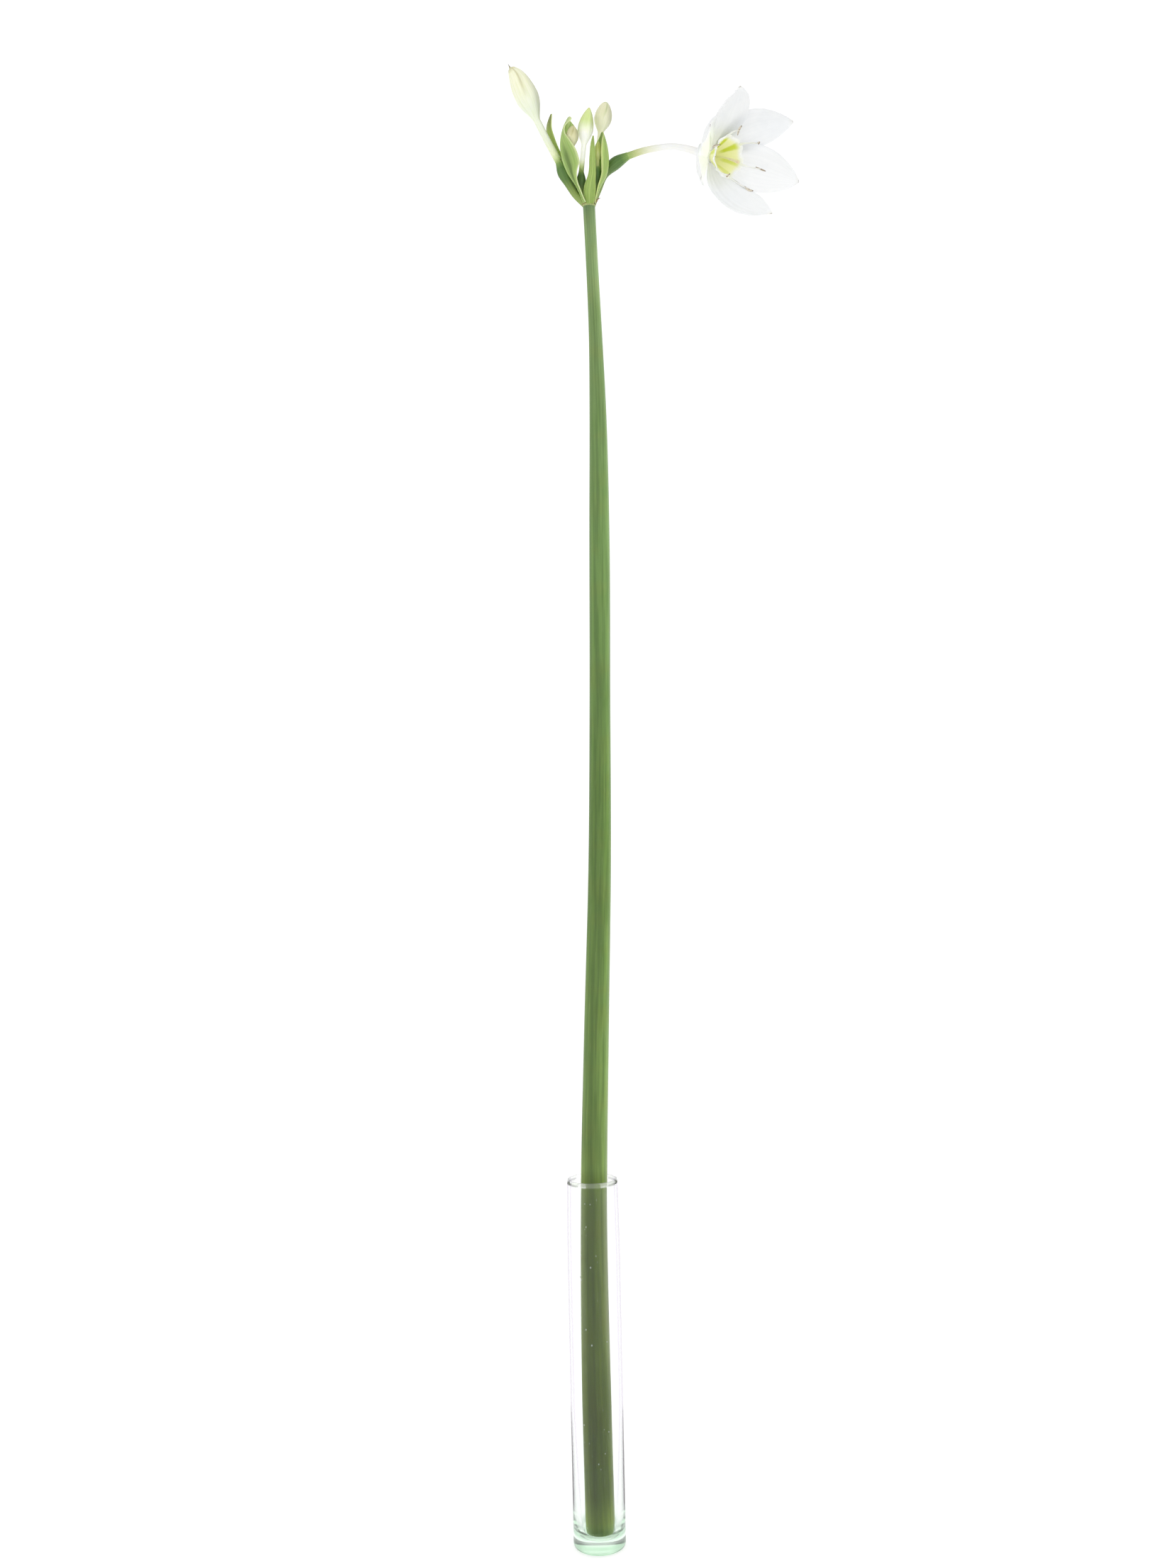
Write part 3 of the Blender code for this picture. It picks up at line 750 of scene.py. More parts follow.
# %% The stalk tree
def stalk_tree():
    inputs = (
        ("Sides", "Int", 32),
        ("Ribs", "Float", 3.0),
        ("Rib depth", "Float", 0.0),
        ("Material", "Material", None),
    )
    tree, start = new_geometry_tree("Fleshy stalk", inputs)
    line = start.out("Geometry")
    spline = tree.node("GeometryNodeSplineParameter")
    line = stored(tree, line, "along", spline)
    line = stored(tree, line, "reach", spline.out("Length"))
    turn = tree.node("GeometryNodeSplineParameter") * tau
    radius = MM * (1 + start.out("Rib depth") * (turn * start.out("Ribs")).cos())
    ring = tree.node("GeometryNodeCurvePrimitiveCircle", sockets={"Resolution": start.out("Sides")})
    side = tree.joined(turn.cos(), turn.sin(), 0.0)
    ring = stored(tree, ring, "side", side, "FLOAT_VECTOR")
    spot = tree.joined(turn.cos() * radius, turn.sin() * radius, 0.0)
    ring = tree.node("GeometryNodeSetPosition", sockets={"Geometry": ring, "Position": spot})
    sweep = {"Curve": line, "Profile Curve": ring, "Scale": tree.node("GeometryNodeInputRadius")}
    body = tree.node("GeometryNodeCurveToMesh", sockets={**sweep, "Fill Caps": True})
    end_tree(tree, body, start.out("Material"))
    return tree


STALK = stalk_tree()
print("stalk tree has", len(STALK.tree.nodes), "nodes")

# %% A stalk from rows
def stalk_mesh(rows, material, sides=32, ribs=3.0, depth=0.0):
    """A stalk through rows of x, y, z and radius, in millimetres."""
    curve = bpy.data.curves.new("stalk", "CURVE")
    curve.dimensions = "3D"
    line = curve.splines.new("POLY")
    line.points.add(len(rows) - 1)
    for point, (x, y, z, radius) in zip(line.points, rows):
        point.co = (x * MM, y * MM, z * MM, 1.0)
        point.radius = radius
    values = {"Sides": sides, "Ribs": ribs, "Rib depth": depth, "Material": material}
    return outward(grown(loose_object("stalk", curve), STALK, values))


print("a stalk follows rows of x, y, z and radius")

# %% [markdown]
# ## The stem
#
# The scape is a smooth fleshy stem. Its skin has long faint streaks and a light waxy coat, and it
# turns a duller olive lower down. Painted light makes it paler just under the head and on both
# flanks, and painted shade darkens its middle and its left side. The colour ramp follows the stem
# from its cut end to its head, and the streaks are noise that is stretched along it.

# %% The stem's line
SCAPE = (
    (-0.1, 1.6, 81.0, 8.0), (0.6, 4.2, 185.0, 7.3), (3.9, 5.6, 278.0, 6.8), (7.6, 6.0, 370.0, 6.2),
    (9.7, 5.6, 463.0, 5.7), (11.3, 4.2, 555.0, 5.5), (11.8, 2.8, 617.0, 4.6),
    (11.4, 1.8, 657.0, 3.7), (10.2, 0.6, 700.0, 3.3), (9.3, 0.0, 728.3, 3.3),
)
CUT_END = (
    (0.5, -0.4, 7.5, 5.6), (0.5, -0.4, 7.65, 6.8), (0.5, -0.4, 8.1, 7.5), (0.5, -0.35, 9.0, 7.95),
    (0.5, -0.3, 10.4, 8.15),
)
scape_rows = np.concatenate((np.array(CUT_END)[:-1], smooth_rows((CUT_END[-1],) + SCAPE, 150)))
print("the stem is", round(scape_rows[-1][2] - scape_rows[0][2]), "mm tall")

# %% Painted light and shade on the stem, and its marks
BRUISE = (0.0046, 0.0088)
BEHIND_GLASS = (0.735, 0.745)


def scape_painted_light_and_marks(skin, colour, streaks, painted_light_bands):
    """Painted light and shade round the stem, its mossy patches and the bruise near its cut end."""
    along = skin.attribute("along")
    x, y, _ = skin.parts(skin.attribute("side", "Vector"))
    across, _, height = skin.parts(skin.place())
    bruise = (across - BRUISE[0]).bell(0.0005) * (height - BRUISE[1]).bell(0.0012)
    # Painted light and shade: a lit copy of the colour on both flanks, a shaded one in the middle
    # and left.
    place = skin.attribute("east") * 0.5 + 0.5 + 0.05 * (streaks - 0.5)
    share = skin.ramp(place, painted_light_bands)
    bare = along.fade(0.26, 0.3)
    # Above the vase the painted light is weaker, and the left side gets more painted shade.
    painted_light_amount = 1 - 0.35 * bare - 0.3 * along.fade(0.5, 0.75)
    painted_light_amount = painted_light_amount * (1 - 0.55 * bare * (1 - place.fade(0.05, 0.3)))
    deep = skin.tinted(colour, 0.7, 0.7, 0.66)
    colour = skin.mix(share * painted_light_amount, deep, skin.tinted(colour, 2.3, 2.15, 2.7))
    # Painted light: paler flanks where the stem stands behind the glass.
    painted_light_in_vase = along.fade(0.1, 0.17) * (1 - along).fade(*BEHIND_GLASS)
    colour = skin.mix(0.4 * painted_light_in_vase * share * share, colour, screen(186, 196, 160))
    blotch = skin.noise(skin.joined(x * 1.2, y * 1.2, skin.attribute("reach") * 45.0), 1.0, 2.0)
    mossy = skin.tinted(colour, 0.84, 0.9, 0.72)
    colour = skin.mix(0.55 * bare * blotch.fade(0.5, 0.66), colour, mossy)
    return skin.mix(bruise * 0.8, colour, screen(96, 62, 34))


print("a bruise of the skin sits at", BRUISE, "m across and up")

# %% Green skin
def streaked_skin(name, stops, streak=0.25, constants=None, painted_light_bands=None):
    """Green skin along the stalk: long streaks, flecks, small relief, and painted light bands if
    given.
    """
    skin = Finish(name, {"Specular IOR Level": 0.4, **(constants or {})})
    reach = skin.attribute("reach")
    x, y, _ = skin.parts(skin.attribute("side", "Vector"))
    streaks = skin.noise(skin.joined(x * 3.0, y * 3.0, reach * 14.0), 1.6, 4.0)
    fine = skin.noise(skin.joined(x * 14.0, y * 14.0, reach * 60.0), 1.5)
    patches = skin.noise(skin.place(), 70.0)
    colour = skin.ramp(skin.attribute("along"), stops)
    dark = skin.tinted(colour, 0.74, 0.76, 0.72)
    light = skin.tinted(colour, 1.28, 1.22, 1.25)
    mottled = skin.mix(streaks.fade(0.36, 0.64), dark, light)
    colour = skin.mix(2.6 * streak, colour, mottled)
    warm = skin.tinted(colour, 1.16, 0.98, 0.86)
    colour = skin.mix(2.2 * streak * patches.fade(0.45, 0.7), colour, warm)
    pale = skin.mix(0.35, colour, screen(205, 215, 170))
    colour = skin.mix(fine.fade(0.62, 0.74) * 1.2 * streak, colour, pale)
    if painted_light_bands:
        colour = scape_painted_light_and_marks(skin, colour, streaks, painted_light_bands)
    skin.feed("Base Color", colour)
    skin.feed("Roughness", 0.36 + 0.16 * patches)
    skin.relief(streaks + 0.5 * fine, 0.00016, 0.5)
    return skin.material


print("the stem, the stalks and the tubes share one kind of skin")

# %% The stem
# Colour from the cut end to the head; the lighter stops just under the head are painted light.
SCAPE_STOPS = graded(
    (0.0, 128, 152, 72), (0.012, 102, 124, 36), (0.03, 74, 94, 18), (0.085, 70, 90, 14),
    (0.14, 79, 100, 20), (0.245, 80, 102, 26), (0.265, 84, 109, 36), (0.275, 96, 124, 52),
    (0.35, 98, 130, 56), (0.55, 90, 124, 50), (0.74, 112, 150, 76), (0.86, 114, 148, 80),
    (0.925, 122, 154, 88), (0.965, 142, 174, 110), (0.982, 134, 166, 104), (1.0, 108, 140, 84),
)
# How lit the stem is painted round its girth, from its left flank to its right: 1 lit, 0 shaded.
PAINTED_LIGHT_SHARES = (
    (0.0, 1.0), (0.08, 0.72), (0.16, 0.36), (0.25, 0.13), (0.38, 0.06), (0.5, 0.17), (0.65, 0.31),
    (0.78, 0.5), (0.88, 0.86), (1.0, 1.0),
)
SCAPE_PAINTED_LIGHT = [(place, (share, share, share, 1.0)) for place, share in PAINTED_LIGHT_SHARES]


def marked_east(mesh):
    """Store how far each point of the skin faces +X, so that painted light and shade can run round
    it.
    """
    return marked(mesh, "east", [v.normal.x for v in mesh.vertices])


WAXY = {"Coat Weight": 0.15, "Coat Roughness": 0.35}
SCAPE_SKIN = streaked_skin("scape_skin", SCAPE_STOPS, 0.25, WAXY, SCAPE_PAINTED_LIGHT)
scape_mesh = marked_east(stalk_mesh(scape_rows, SCAPE_SKIN, sides=64, ribs=9.0, depth=0.008))
piece("scape_skin", scape_mesh, SCAPE_SKIN, "scape")

# %% [markdown]
# ## Stalks and ovaries
#
# Each flower hangs on its own short stalk that swells into a dark, three-cornered ovary. The
# stalk tree makes them too, with three ribs. The round top that they all grow from is part of the
# same head, with the dry line where the bracts once closed over the buds.

# %% Flower stalks
STALKS = {
    "bud_1": (
        (7.4, 0.3, 729.0, 1.8), (2.2, 0.4, 734.6, 1.9), (-1.6, 0.8, 741.2, 2.3),
        (-4.1, 0.8, 746.8, 3.3), (-6.4, 0.8, 752.9, 2.02),
    ),
    "bud_2": (
        (7.8, -1.4, 729.0, 1.3), (4.8, -2.7, 735.5, 1.05), (2.4, -3.8, 741.0, 1.05),
        (1.0, -4.3, 745.0, 1.85), (1.2, -4.9, 749.5, 1.32),
    ),
    "bud_3": (
        (8.8, 0.5, 729.0, 1.5), (6.4, 0.6, 734.0, 1.3), (5.5, 0.6, 738.4, 1.9),
        (5.4, 0.9, 742.6, 2.5), (5.5, 1.2, 747.5, 1.42),
    ),
    "bud_4": (
        (9.8, 1.8, 729.0, 1.5), (11.4, 3.2, 736.0, 1.4), (12.6, 4.0, 742.0, 1.8),
        (13.5, 4.4, 747.0, 2.4), (14.1, 4.7, 752.9, 1.42),
    ),
    "bud_5": (
        (10.6, -0.8, 729.0, 1.3), (12.9, -1.8, 737.0, 1.1), (14.2, -2.2, 742.6, 1.3),
        (14.5, -2.3, 745.4, 1.7), (14.6, -2.4, 748.8, 1.02),
    ),
    "flower": (
        (11.2, 1.4, 729.0, 1.7), (14.6, 3.6, 738.0, 1.8), (18.4, 4.6, 747.4, 2.4),
        (24.6, 4.7, 753.2, 3.4), (31.6, 4.25, 757.0, 1.92),
    ),
}
STALK_STOPS = graded(
    (0.0, 150, 172, 96), (0.35, 132, 154, 82), (0.62, 92, 124, 62), (0.86, 88, 124, 60),
    (0.97, 128, 160, 84), (1.0, 166, 190, 112),
)
STALK_SKIN = streaked_skin("stalk_skin", STALK_STOPS, 0.2)
stalks = [
    stalk_mesh(smooth_rows(rows, 40), STALK_SKIN, sides=30, depth=0.05) for rows in STALKS.values()
]
piece("flower_stalks", merged("flower_stalks", stalks), STALK_SKIN, "umbel")

# %% Receptacle
HEAD_CENTRE = (9.3, 0.0)
HEAD_FOOT = 727.95
HEAD_HEIGHT = 3.2
HEAD_RADIUS = 3.9

head_profile = ((0.0, 0.85), (0.5, 0.95), (1.6, 1.0), (2.8, 0.72), (HEAD_HEIGHT, 0.3))
head_rows = [(*HEAD_CENTRE, HEAD_FOOT + up, HEAD_RADIUS * share) for up, share in head_profile]
HEAD_STOPS = graded(
    (0.0, 150, 166, 104), (0.3, 172, 182, 116), (0.6, 150, 172, 96), (1.0, 140, 164, 86),
)
HEAD_SKIN = streaked_skin("receptacle_skin", HEAD_STOPS, 0.2)
piece("receptacle", stalk_mesh(head_rows, HEAD_SKIN, sides=48), HEAD_SKIN, "umbel")

# %% The dry line
def dry_line_rows(turns, lift, out, thickness):
    """A thin dry rim round the receptacle, a little wavy."""
    rows = []
    for turn in turns:
        wave = 0.25 * sin(3 * turn + 0.6) + 0.12 * sin(7 * turn)
        radius = HEAD_RADIUS + out + 0.08 * sin(5 * turn)
        x = HEAD_CENTRE[0] + radius * cos(turn)
        y = HEAD_CENTRE[1] + radius * sin(turn)
        rows.append((x, y, HEAD_FOOT + lift + wave, thickness))
    return rows


WITHERED_CURL = (
    (12.4, -1.9, 729.4, 0.3), (13.2, -2.3, 729.9, 0.42), (13.9, -2.6, 730.9, 0.36),
    (14.6, -2.9, 731.5, 0.26), (15.5, -3.2, 731.5, 0.1),
)
DRY_STOPS = graded((0.0, 146, 124, 84), (0.5, 156, 128, 88), (1.0, 112, 100, 84))
DRY_SKIN = streaked_skin("withered_skin", DRY_STOPS, 0.35)
rim_turns = np.linspace(radians(-205), radians(-15), 60)
rim = stalk_mesh(dry_line_rows(rim_turns, 1.1, 0.02, 0.16), DRY_SKIN, sides=10)
curl = stalk_mesh(smooth_rows(WITHERED_CURL, 20), DRY_SKIN, sides=12, depth=0.2)
piece("withered_rim", merged("withered_rim", [rim, curl]), DRY_SKIN, "umbel")

# %% [markdown]
# ## Bracts
#
# The four green leaves once wrapped the whole head. Each is a blade bent round its own keel into
# a hood. We walk along the keel, and at each step lay a row of points on a circle that faces
# inward. Fine veins run from foot to tip, and the margins are paler than the middle.

# %% Bract shapes
BRACTS = {
    "bract_sickle": {
        "keel": (
            (7.0, 2.2, 729.2), (-0.6, 3.6, 743.0), (-6.6, 4.2, 756.0), (-10.9, 4.1, 765.5),
            (-12.2, 3.9, 771.8), (-10.1, 3.4, 780.4),
        ),
        "faces": ((0.8, 0.6, 0.0), (0.8, 0.6, 0.0)),
        "halves": (3.1, 3.1),
        "hood": 3.4,
        "outline": ((0.0, 0.6), (0.35, 0.68), (0.6, 0.84), (0.75, 1.0), (0.87, 0.8), (1.0, 0.05)),
    },
    "bract_left_hood": {
        "keel": (
            (6.6, -2.4, 729.0), (2.6, -3.9, 738.6), (-1.8, -4.4, 745.6), (-5.1, -4.0, 757.0),
            (-4.9, -2.9, 765.0), (-3.5, -1.5, 770.6), (-0.5, -0.7, 776.0),
        ),
        "faces": ((0.97, 0.16, 0.0), (0.95, -0.25, 0.0)),
        "halves": (8.8, 8.2),
        "hood": 5.3,
        "near": (
            (0.0, 0.3), (0.15, 0.28), (0.21, 0.32), (0.25, 0.44), (0.29, 0.62), (0.37, 1.06),
            (0.46, 1.18), (0.57, 1.14), (0.69, 0.86), (0.78, 0.54), (0.86, 0.5), (0.92, 0.74),
            (0.97, 0.8), (0.99, 0.5), (1.0, 0.14),
        ),
        "outline": (
            (0.0, 0.44), (0.15, 0.6), (0.3, 0.84), (0.5, 1.0), (0.7, 1.1), (0.82, 1.22),
            (0.92, 1.16), (0.97, 0.96), (0.99, 0.6), (1.0, 0.2),
        ),
    },
    "bract_front": {
        "keel": (
            (9.6, -3.8, 728.6), (9.8, -4.6, 733.9), (10.1, -5.0, 737.7), (11.4, -5.3, 744.3),
            (11.7, -5.2, 753.1), (11.9, -5.0, 760.5), (12.3, -4.8, 765.0),
        ),
        "faces": ((0.0, 1.0, 0.0), (0.0, 1.0, 0.0)),
        "halves": (3.6, 3.6),
        "hood": 4.6,
        "outline": (
            (0.0, 0.64), (0.16, 1.0), (0.25, 0.92), (0.36, 0.66), (0.5, 0.5), (0.72, 0.42),
            (0.9, 0.22), (1.0, 0.03),
        ),
    },
    "bract_right_hood": {
        "keel": (
            (12.4, 0.2, 729.2), (15.0, -0.2, 737.4), (19.1, -0.5, 745.6), (20.1, -0.8, 753.0),
            (19.3, -1.1, 760.4), (17.1, -1.5, 768.0),
        ),
        "faces": ((-0.93, -0.37, 0.0), (-0.93, -0.37, 0.0)),
        "halves": (8.6, 8.0),
        "hood": 4.6,
        "outline": ((0.0, 0.42), (0.3, 0.76), (0.55, 1.0), (0.78, 0.96), (0.89, 0.74), (1.0, 0.05)),
    },
}
BRACT_WALL = 0.55
BRACT_GRID = (22, 46)
print("bracts:", ", ".join(BRACTS))

# %% Bract blades
def bract_mesh(name, shape):
    """A blade laid on circles along its keel, with a fold at the keel and wavy margins."""
    across, along = BRACT_GRID
    keel = smooth_rows(shape["keel"], along + 1)
    tangents = np.gradient(keel, axis=0)
    foot_faces, tip_faces = np.array(shape["faces"])
    outline, near = [
        smooth_rows([(place, 0.0, 0.0, share) for place, share in shape[key]], 200)
        for key in ("outline", "near" if "near" in shape else "outline")
    ]
    right, left = shape["halves"]
    rows = []
    for i in range(along + 1):
        t = i / along
        tangent = tangents[i] / np.linalg.norm(tangents[i])
        faces = foot_faces + (tip_faces - foot_faces) * t**3
        inward = faces - faces.dot(tangent) * tangent
        inward /= np.linalg.norm(inward)
        sideways = np.cross(tangent, inward)
        far_half = left * np.interp(t, outline[:, 0], outline[:, 3])
        near_half = right * np.interp(t, near[:, 0], near[:, 3])
        row = []
        for v in np.linspace(-1, 1, across + 1):
            width = (far_half if v > 0 else near_half) + 0.12
            turn = v * width / shape["hood"]
            wave = 0.22 * v**4 * sin(9 * t + 3 * v)
            fold = 0.3 * exp(-((v / 0.12) ** 2)) * sin(pi * min(1, t * 1.02))
            offset = (1 - cos(turn)) * inward + sin(turn) * sideways
            row.append(keel[i] + shape["hood"] * offset + (wave - fold) * inward)
        rows.append(row)
    return given_wall(woven(name, rows), BRACT_WALL)


print("a bract is laid out on a grid of", BRACT_GRID, "faces")

# %% Bract skins and pieces
def bract_skin(name, foot, middle, tip, margin, painted_fold_shade):
    """Blade with parallel veins, paler margins, and where asked a band of painted shade on one
    half.
    """
    skin = Finish(name, {"Specular IOR Level": 0.35, **flesh(0.4, 0.0016, 0.7, 0.35)})
    across, along = skin.uv()
    v = across * 2 - 1
    wander = skin.noise(skin.place(), 120.0)
    broad = skin.noise(skin.joined(v * 5.0, along * 1.6, 0.0), 1.0)
    veins = ((v * 46.0 + wander * 1.6).sin() * 0.5 + 0.5) ** 2.0
    colour = skin.ramp(along, ((0.0, foot), (0.45, middle), (0.8, middle), (1.0, tip)))
    dark = skin.tinted(colour, 0.62, 0.68, 0.60)
    colour = skin.mix(0.6 * broad.fade(0.4, 0.62), colour, dark)
    pale = skin.mix(0.5, colour, margin)
    colour = skin.mix(veins * 0.22, colour, pale)
    colour = skin.mix(v.maths("ABSOLUTE").fade(0.8, 0.985) * 0.75, colour, margin)
    colour = skin.mix(v.bell(0.06) * 0.4, colour, pale)
    if painted_fold_shade:
        # Painted shade: a darker band on the half of the hood that lies in shadow.
        fold_shade_band = (v + 0.42 + 0.1 * (along - 0.5)).bell(0.17) * along.fade(0.1, 0.3)
        fold_shade_band = fold_shade_band * (1 - along).fade(0.25, 0.5)
        colour = skin.mix(fold_shade_band * painted_fold_shade, colour, screen(76, 102, 44))
    skin.feed("Base Color", colour)
    skin.feed("Roughness", 0.4 + 0.15 * wander)
    skin.relief(veins + 0.7 * wander, 0.0001, 0.5)
    return skin.material


BRACT_SKINS = {
    "bract_sickle": ((158, 178, 88), (168, 184, 98), (128, 128, 84), (206, 216, 146)),
    "bract_left_hood": ((152, 180, 94), (170, 197, 112), (206, 218, 160), (226, 236, 184)),
    "bract_front": ((152, 180, 90), (174, 197, 110), (150, 172, 92), (206, 220, 150)),
    "bract_right_hood": ((160, 184, 104), (168, 194, 108), (136, 160, 84), (210, 222, 150)),
}
# How strongly each bract's shaded half is painted darker.
PAINTED_FOLD_SHADES = {"bract_left_hood": 0.75}
for name, shape in BRACTS.items():
    colours = [screen(*colour) for colour in BRACT_SKINS[name]]
    skin = bract_skin(name + "_skin", *colours, PAINTED_FOLD_SHADES.get(name, 0.0))
    piece(name, bract_mesh(name, shape), skin, "umbel")

# %% [markdown]
# ## Buds
#
# A closed bud is a narrow tube that swells into a pointed, furled limb: three outer petals wrapped
# round each other, each edge lying over the next. We loft rings along two curves, the tube's and
# the limb's, and give each ring three overlapping steps, which fade out down the tube. Petals let
# light through, and a faint glow stands in for that where a bud is shut in between the bracts.

# %% Bud shapes
BUDS = {
    "bud_1": {
        "tube": ((-6.4, 0.8, 752.8), (-12.4, 0.0, 763.9), (-18.0, -1.5, 775.0)),
        "limb": (
            (-21.4, -2.6, 783.6), (-25.1, -3.7, 791.2), (-28.5, -4.8, 797.7), (-31.8, -5.9, 802.2),
        ),
        "radii": (2.0, 1.9, 6.4),
        "closing": (0.44, 0.52),
        "turn": 1.0,
    },
    "bud_2": {
        "tube": ((1.2, -4.9, 749.4), (0.8, -5.0, 754.4), (0.6, -5.0, 759.0)),
        "limb": ((0.9, -4.9, 764.5), (1.6, -4.7, 770.6)),
        "radii": (1.3, 1.3, 3.5),
        "closing": (0.45, 0.7),
        "turn": 10.0,
    },
    "bud_3": {
        "tube": ((5.5, 1.2, 747.4), (6.3, 1.4, 754.6), (7.2, 1.4, 762.1)),
        "limb": ((8.5, 1.2, 772.0), (10.6, 1.0, 782.4)),
        "radii": (1.4, 1.4, 4.3),
        "closing": (0.42, 0.8),
        "turn": 70.0,
    },
    "bud_4": {
        "tube": ((14.1, 4.7, 752.8), (15.2, 5.8, 761.6), (16.3, 6.8, 770.5)),
        "limb": ((18.1, 7.4, 779.0), (19.8, 8.0, 788.0)),
        "radii": (1.4, 1.4, 4.8),
        "closing": (0.48, 0.6),
        "turn": 20.0,
    },
    "bud_5": {
        "tube": ((14.6, -2.4, 748.7), (14.6, -2.4, 750.4), (14.7, -2.4, 752.0)),
        "limb": ((15.1, -2.3, 757.4), (15.3, -2.3, 762.7)),
        "radii": (1.0, 1.0, 2.2),
        "closing": (0.42, 0.8),
        "turn": 0.0,
    },
}
BUD_POINT = 0.18
BUD_RING = 72
BUD_STEPS = (16, 44)
print("buds:", ", ".join(BUDS))

# %% Bud outline
def bud_radius(t, tube, limb, closing):
    """Radius of the furled limb at t, from 0 where the tube ends to 1 at the point."""
    widest, sharpness = closing
    if t < widest:
        return tube + (limb - tube) * sin(pi / 2 * t / widest) ** 1.3
    turn = pi / 2 * (t - widest) / (1 - widest)
    return BUD_POINT + (limb - BUD_POINT) * max(0.0, cos(turn)) ** sharpness


largest = BUDS["bud_1"]
halfway = bud_radius(0.5, *largest["radii"][1:], largest["closing"])
print("half way along its limb the largest bud is", round(2 * halfway, 1), "mm wide")

# %% Bud lofts
def bud_mesh(name, shape):
    """Furled rings along the tube and the limb, with each petal's edge stored as a seam."""
    foot, tube, limb = shape["radii"]
    tube_line = smooth_rows(shape["tube"], BUD_STEPS[0])
    limb_line = smooth_rows((shape["tube"][-1], *shape["limb"]), BUD_STEPS[1])
    line = np.concatenate((tube_line, limb_line[1:]))
    tangents = np.gradient(line, axis=0)
    rows, seams = [], []
    for i, (centre, tangent) in enumerate(zip(line, tangents)):
        tangent = tangent / np.linalg.norm(tangent)
        front = np.array((0.0, -1.0, 0.0))
        front = front - front.dot(tangent) * tangent
        front /= np.linalg.norm(front)
        side = np.cross(tangent, front)
        if i < BUD_STEPS[0]:
            t = 0.0
            radius = foot + (tube - foot) * i / (BUD_STEPS[0] - 1)
        else:
            t = (i - BUD_STEPS[0] + 1) / (BUD_STEPS[1] - 1)
            radius = bud_radius(t, tube, limb, shape["closing"])
        step = 0.075 * sin(pi * min(1.0, t * 1.1)) ** 0.6 if t > 0 else 0.0
        row = []
        for j in range(BUD_RING):
            turn = tau * j / BUD_RING
            third = (3 * turn / tau + shape["turn"] / 120 + 0.25 * t) % 1.0
            furl = step * (third - 0.5 if third < 0.93 else (1 - third) / 0.07 * 0.93 - 0.5)
            ridge = 0.35 * step * cos(3 * turn + radians(3 * shape["turn"]))
            spoke = cos(turn) * side + sin(turn) * front
            row.append(centre + radius * (1 + furl + ridge) * spoke)
            seams.append(exp(-(((third + 0.5) % 1.0 - 0.44) / 0.05) ** 2))
        rows.append(row)
    mesh = woven(name, rows, closed=True, poles=(True, True))
    marked(mesh, "seam", seams + [0.0, 1.0])
    return marked_east(outward(mesh))


print("a bud has", sum(BUD_STEPS) - 1, "rings of", BUD_RING, "points")

# %% Bud skins and pieces
def petal_skin(name, foot, low, high, tip, glow):
    """Waxy bud skin: colour from foot to tip, faint green veins, painted shade to +X, painted glow.
    """
    shine = {"Specular IOR Level": 0.35, "Emission Strength": glow}
    skin = Finish(name, {**shine, **flesh(0.7, 0.004)})
    across, along = skin.uv()
    turn = across * tau
    grain = skin.noise(skin.joined(turn.cos() * 5.0, turn.sin() * 5.0, along * 3.0), 1.2, 4.0)
    cells = skin.noise(skin.place(), 900.0, 2.0)
    veins = ((turn * 30.0 + grain * 7.0).sin() * 0.5 + 0.5) ** 3.0
    stops = ((0.0, screen(172, 194, 118)), (0.05, foot), (0.14, low), (0.42, low), (0.72, high))
    colour = skin.ramp(along, (*stops, (0.93, high), (1.0, tip)))
    dark = skin.tinted(colour, 0.86, 0.9, 0.74)
    colour = skin.mix(veins * 0.3 * along.fade(0.35, 0.9), colour, dark)
    colour = skin.mix(0.6 * grain.fade(0.42, 0.68), colour, dark)
    seam = skin.attribute("seam") * along.fade(0.5, 0.8)
    colour = skin.mix(seam * 0.75, colour, skin.mix(0.25, tip, screen(150, 150, 90)))
    # Painted shade: each bud is darker on the side that faces +X.
    painted_east_shade = skin.attribute("east").fade(0.4, 0.97)
    colour = skin.mix(painted_east_shade * 0.9, colour, skin.mix(0.5, colour, screen(124, 130, 104)))
    skin.feed("Base Color", colour)
    # A painted glow where light would come through the petals.
    through = along.fade(0.02, 0.12) * (1 - along).fade(0.3, 0.75)
    skin.feed("Emission Color", skin.mix(through, BLACK, low))
    skin.feed("Roughness", 0.36 + 0.14 * grain)
    skin.relief(veins * 0.3 + cells * 0.2 + grain, 0.00008, 0.3)
    return skin.material


BUD_SKINS = {
    "bud_1": ((236, 242, 206), (234, 239, 222), (246, 246, 222), (206, 200, 158)),
    "bud_2": ((216, 224, 172), (228, 226, 190), (212, 208, 164), (186, 180, 126)),
    "bud_3": ((224, 240, 176), (254, 254, 248), (220, 234, 166), (200, 204, 122)),
    "bud_4": ((224, 232, 184), (236, 236, 212), (234, 232, 202), (178, 196, 136)),
    "bud_5": ((204, 214, 140), (214, 222, 148), (196, 206, 116), (150, 152, 80)),
}
GLOWS = {"bud_3": 0.3}
for name, shape in BUDS.items():
    colours = [screen(*colour) for colour in BUD_SKINS[name]]
    skin = petal_skin(name + "_skin", *colours, GLOWS.get(name, 0.0))
    piece(name + "_petals", bud_mesh(name, shape), skin, name)

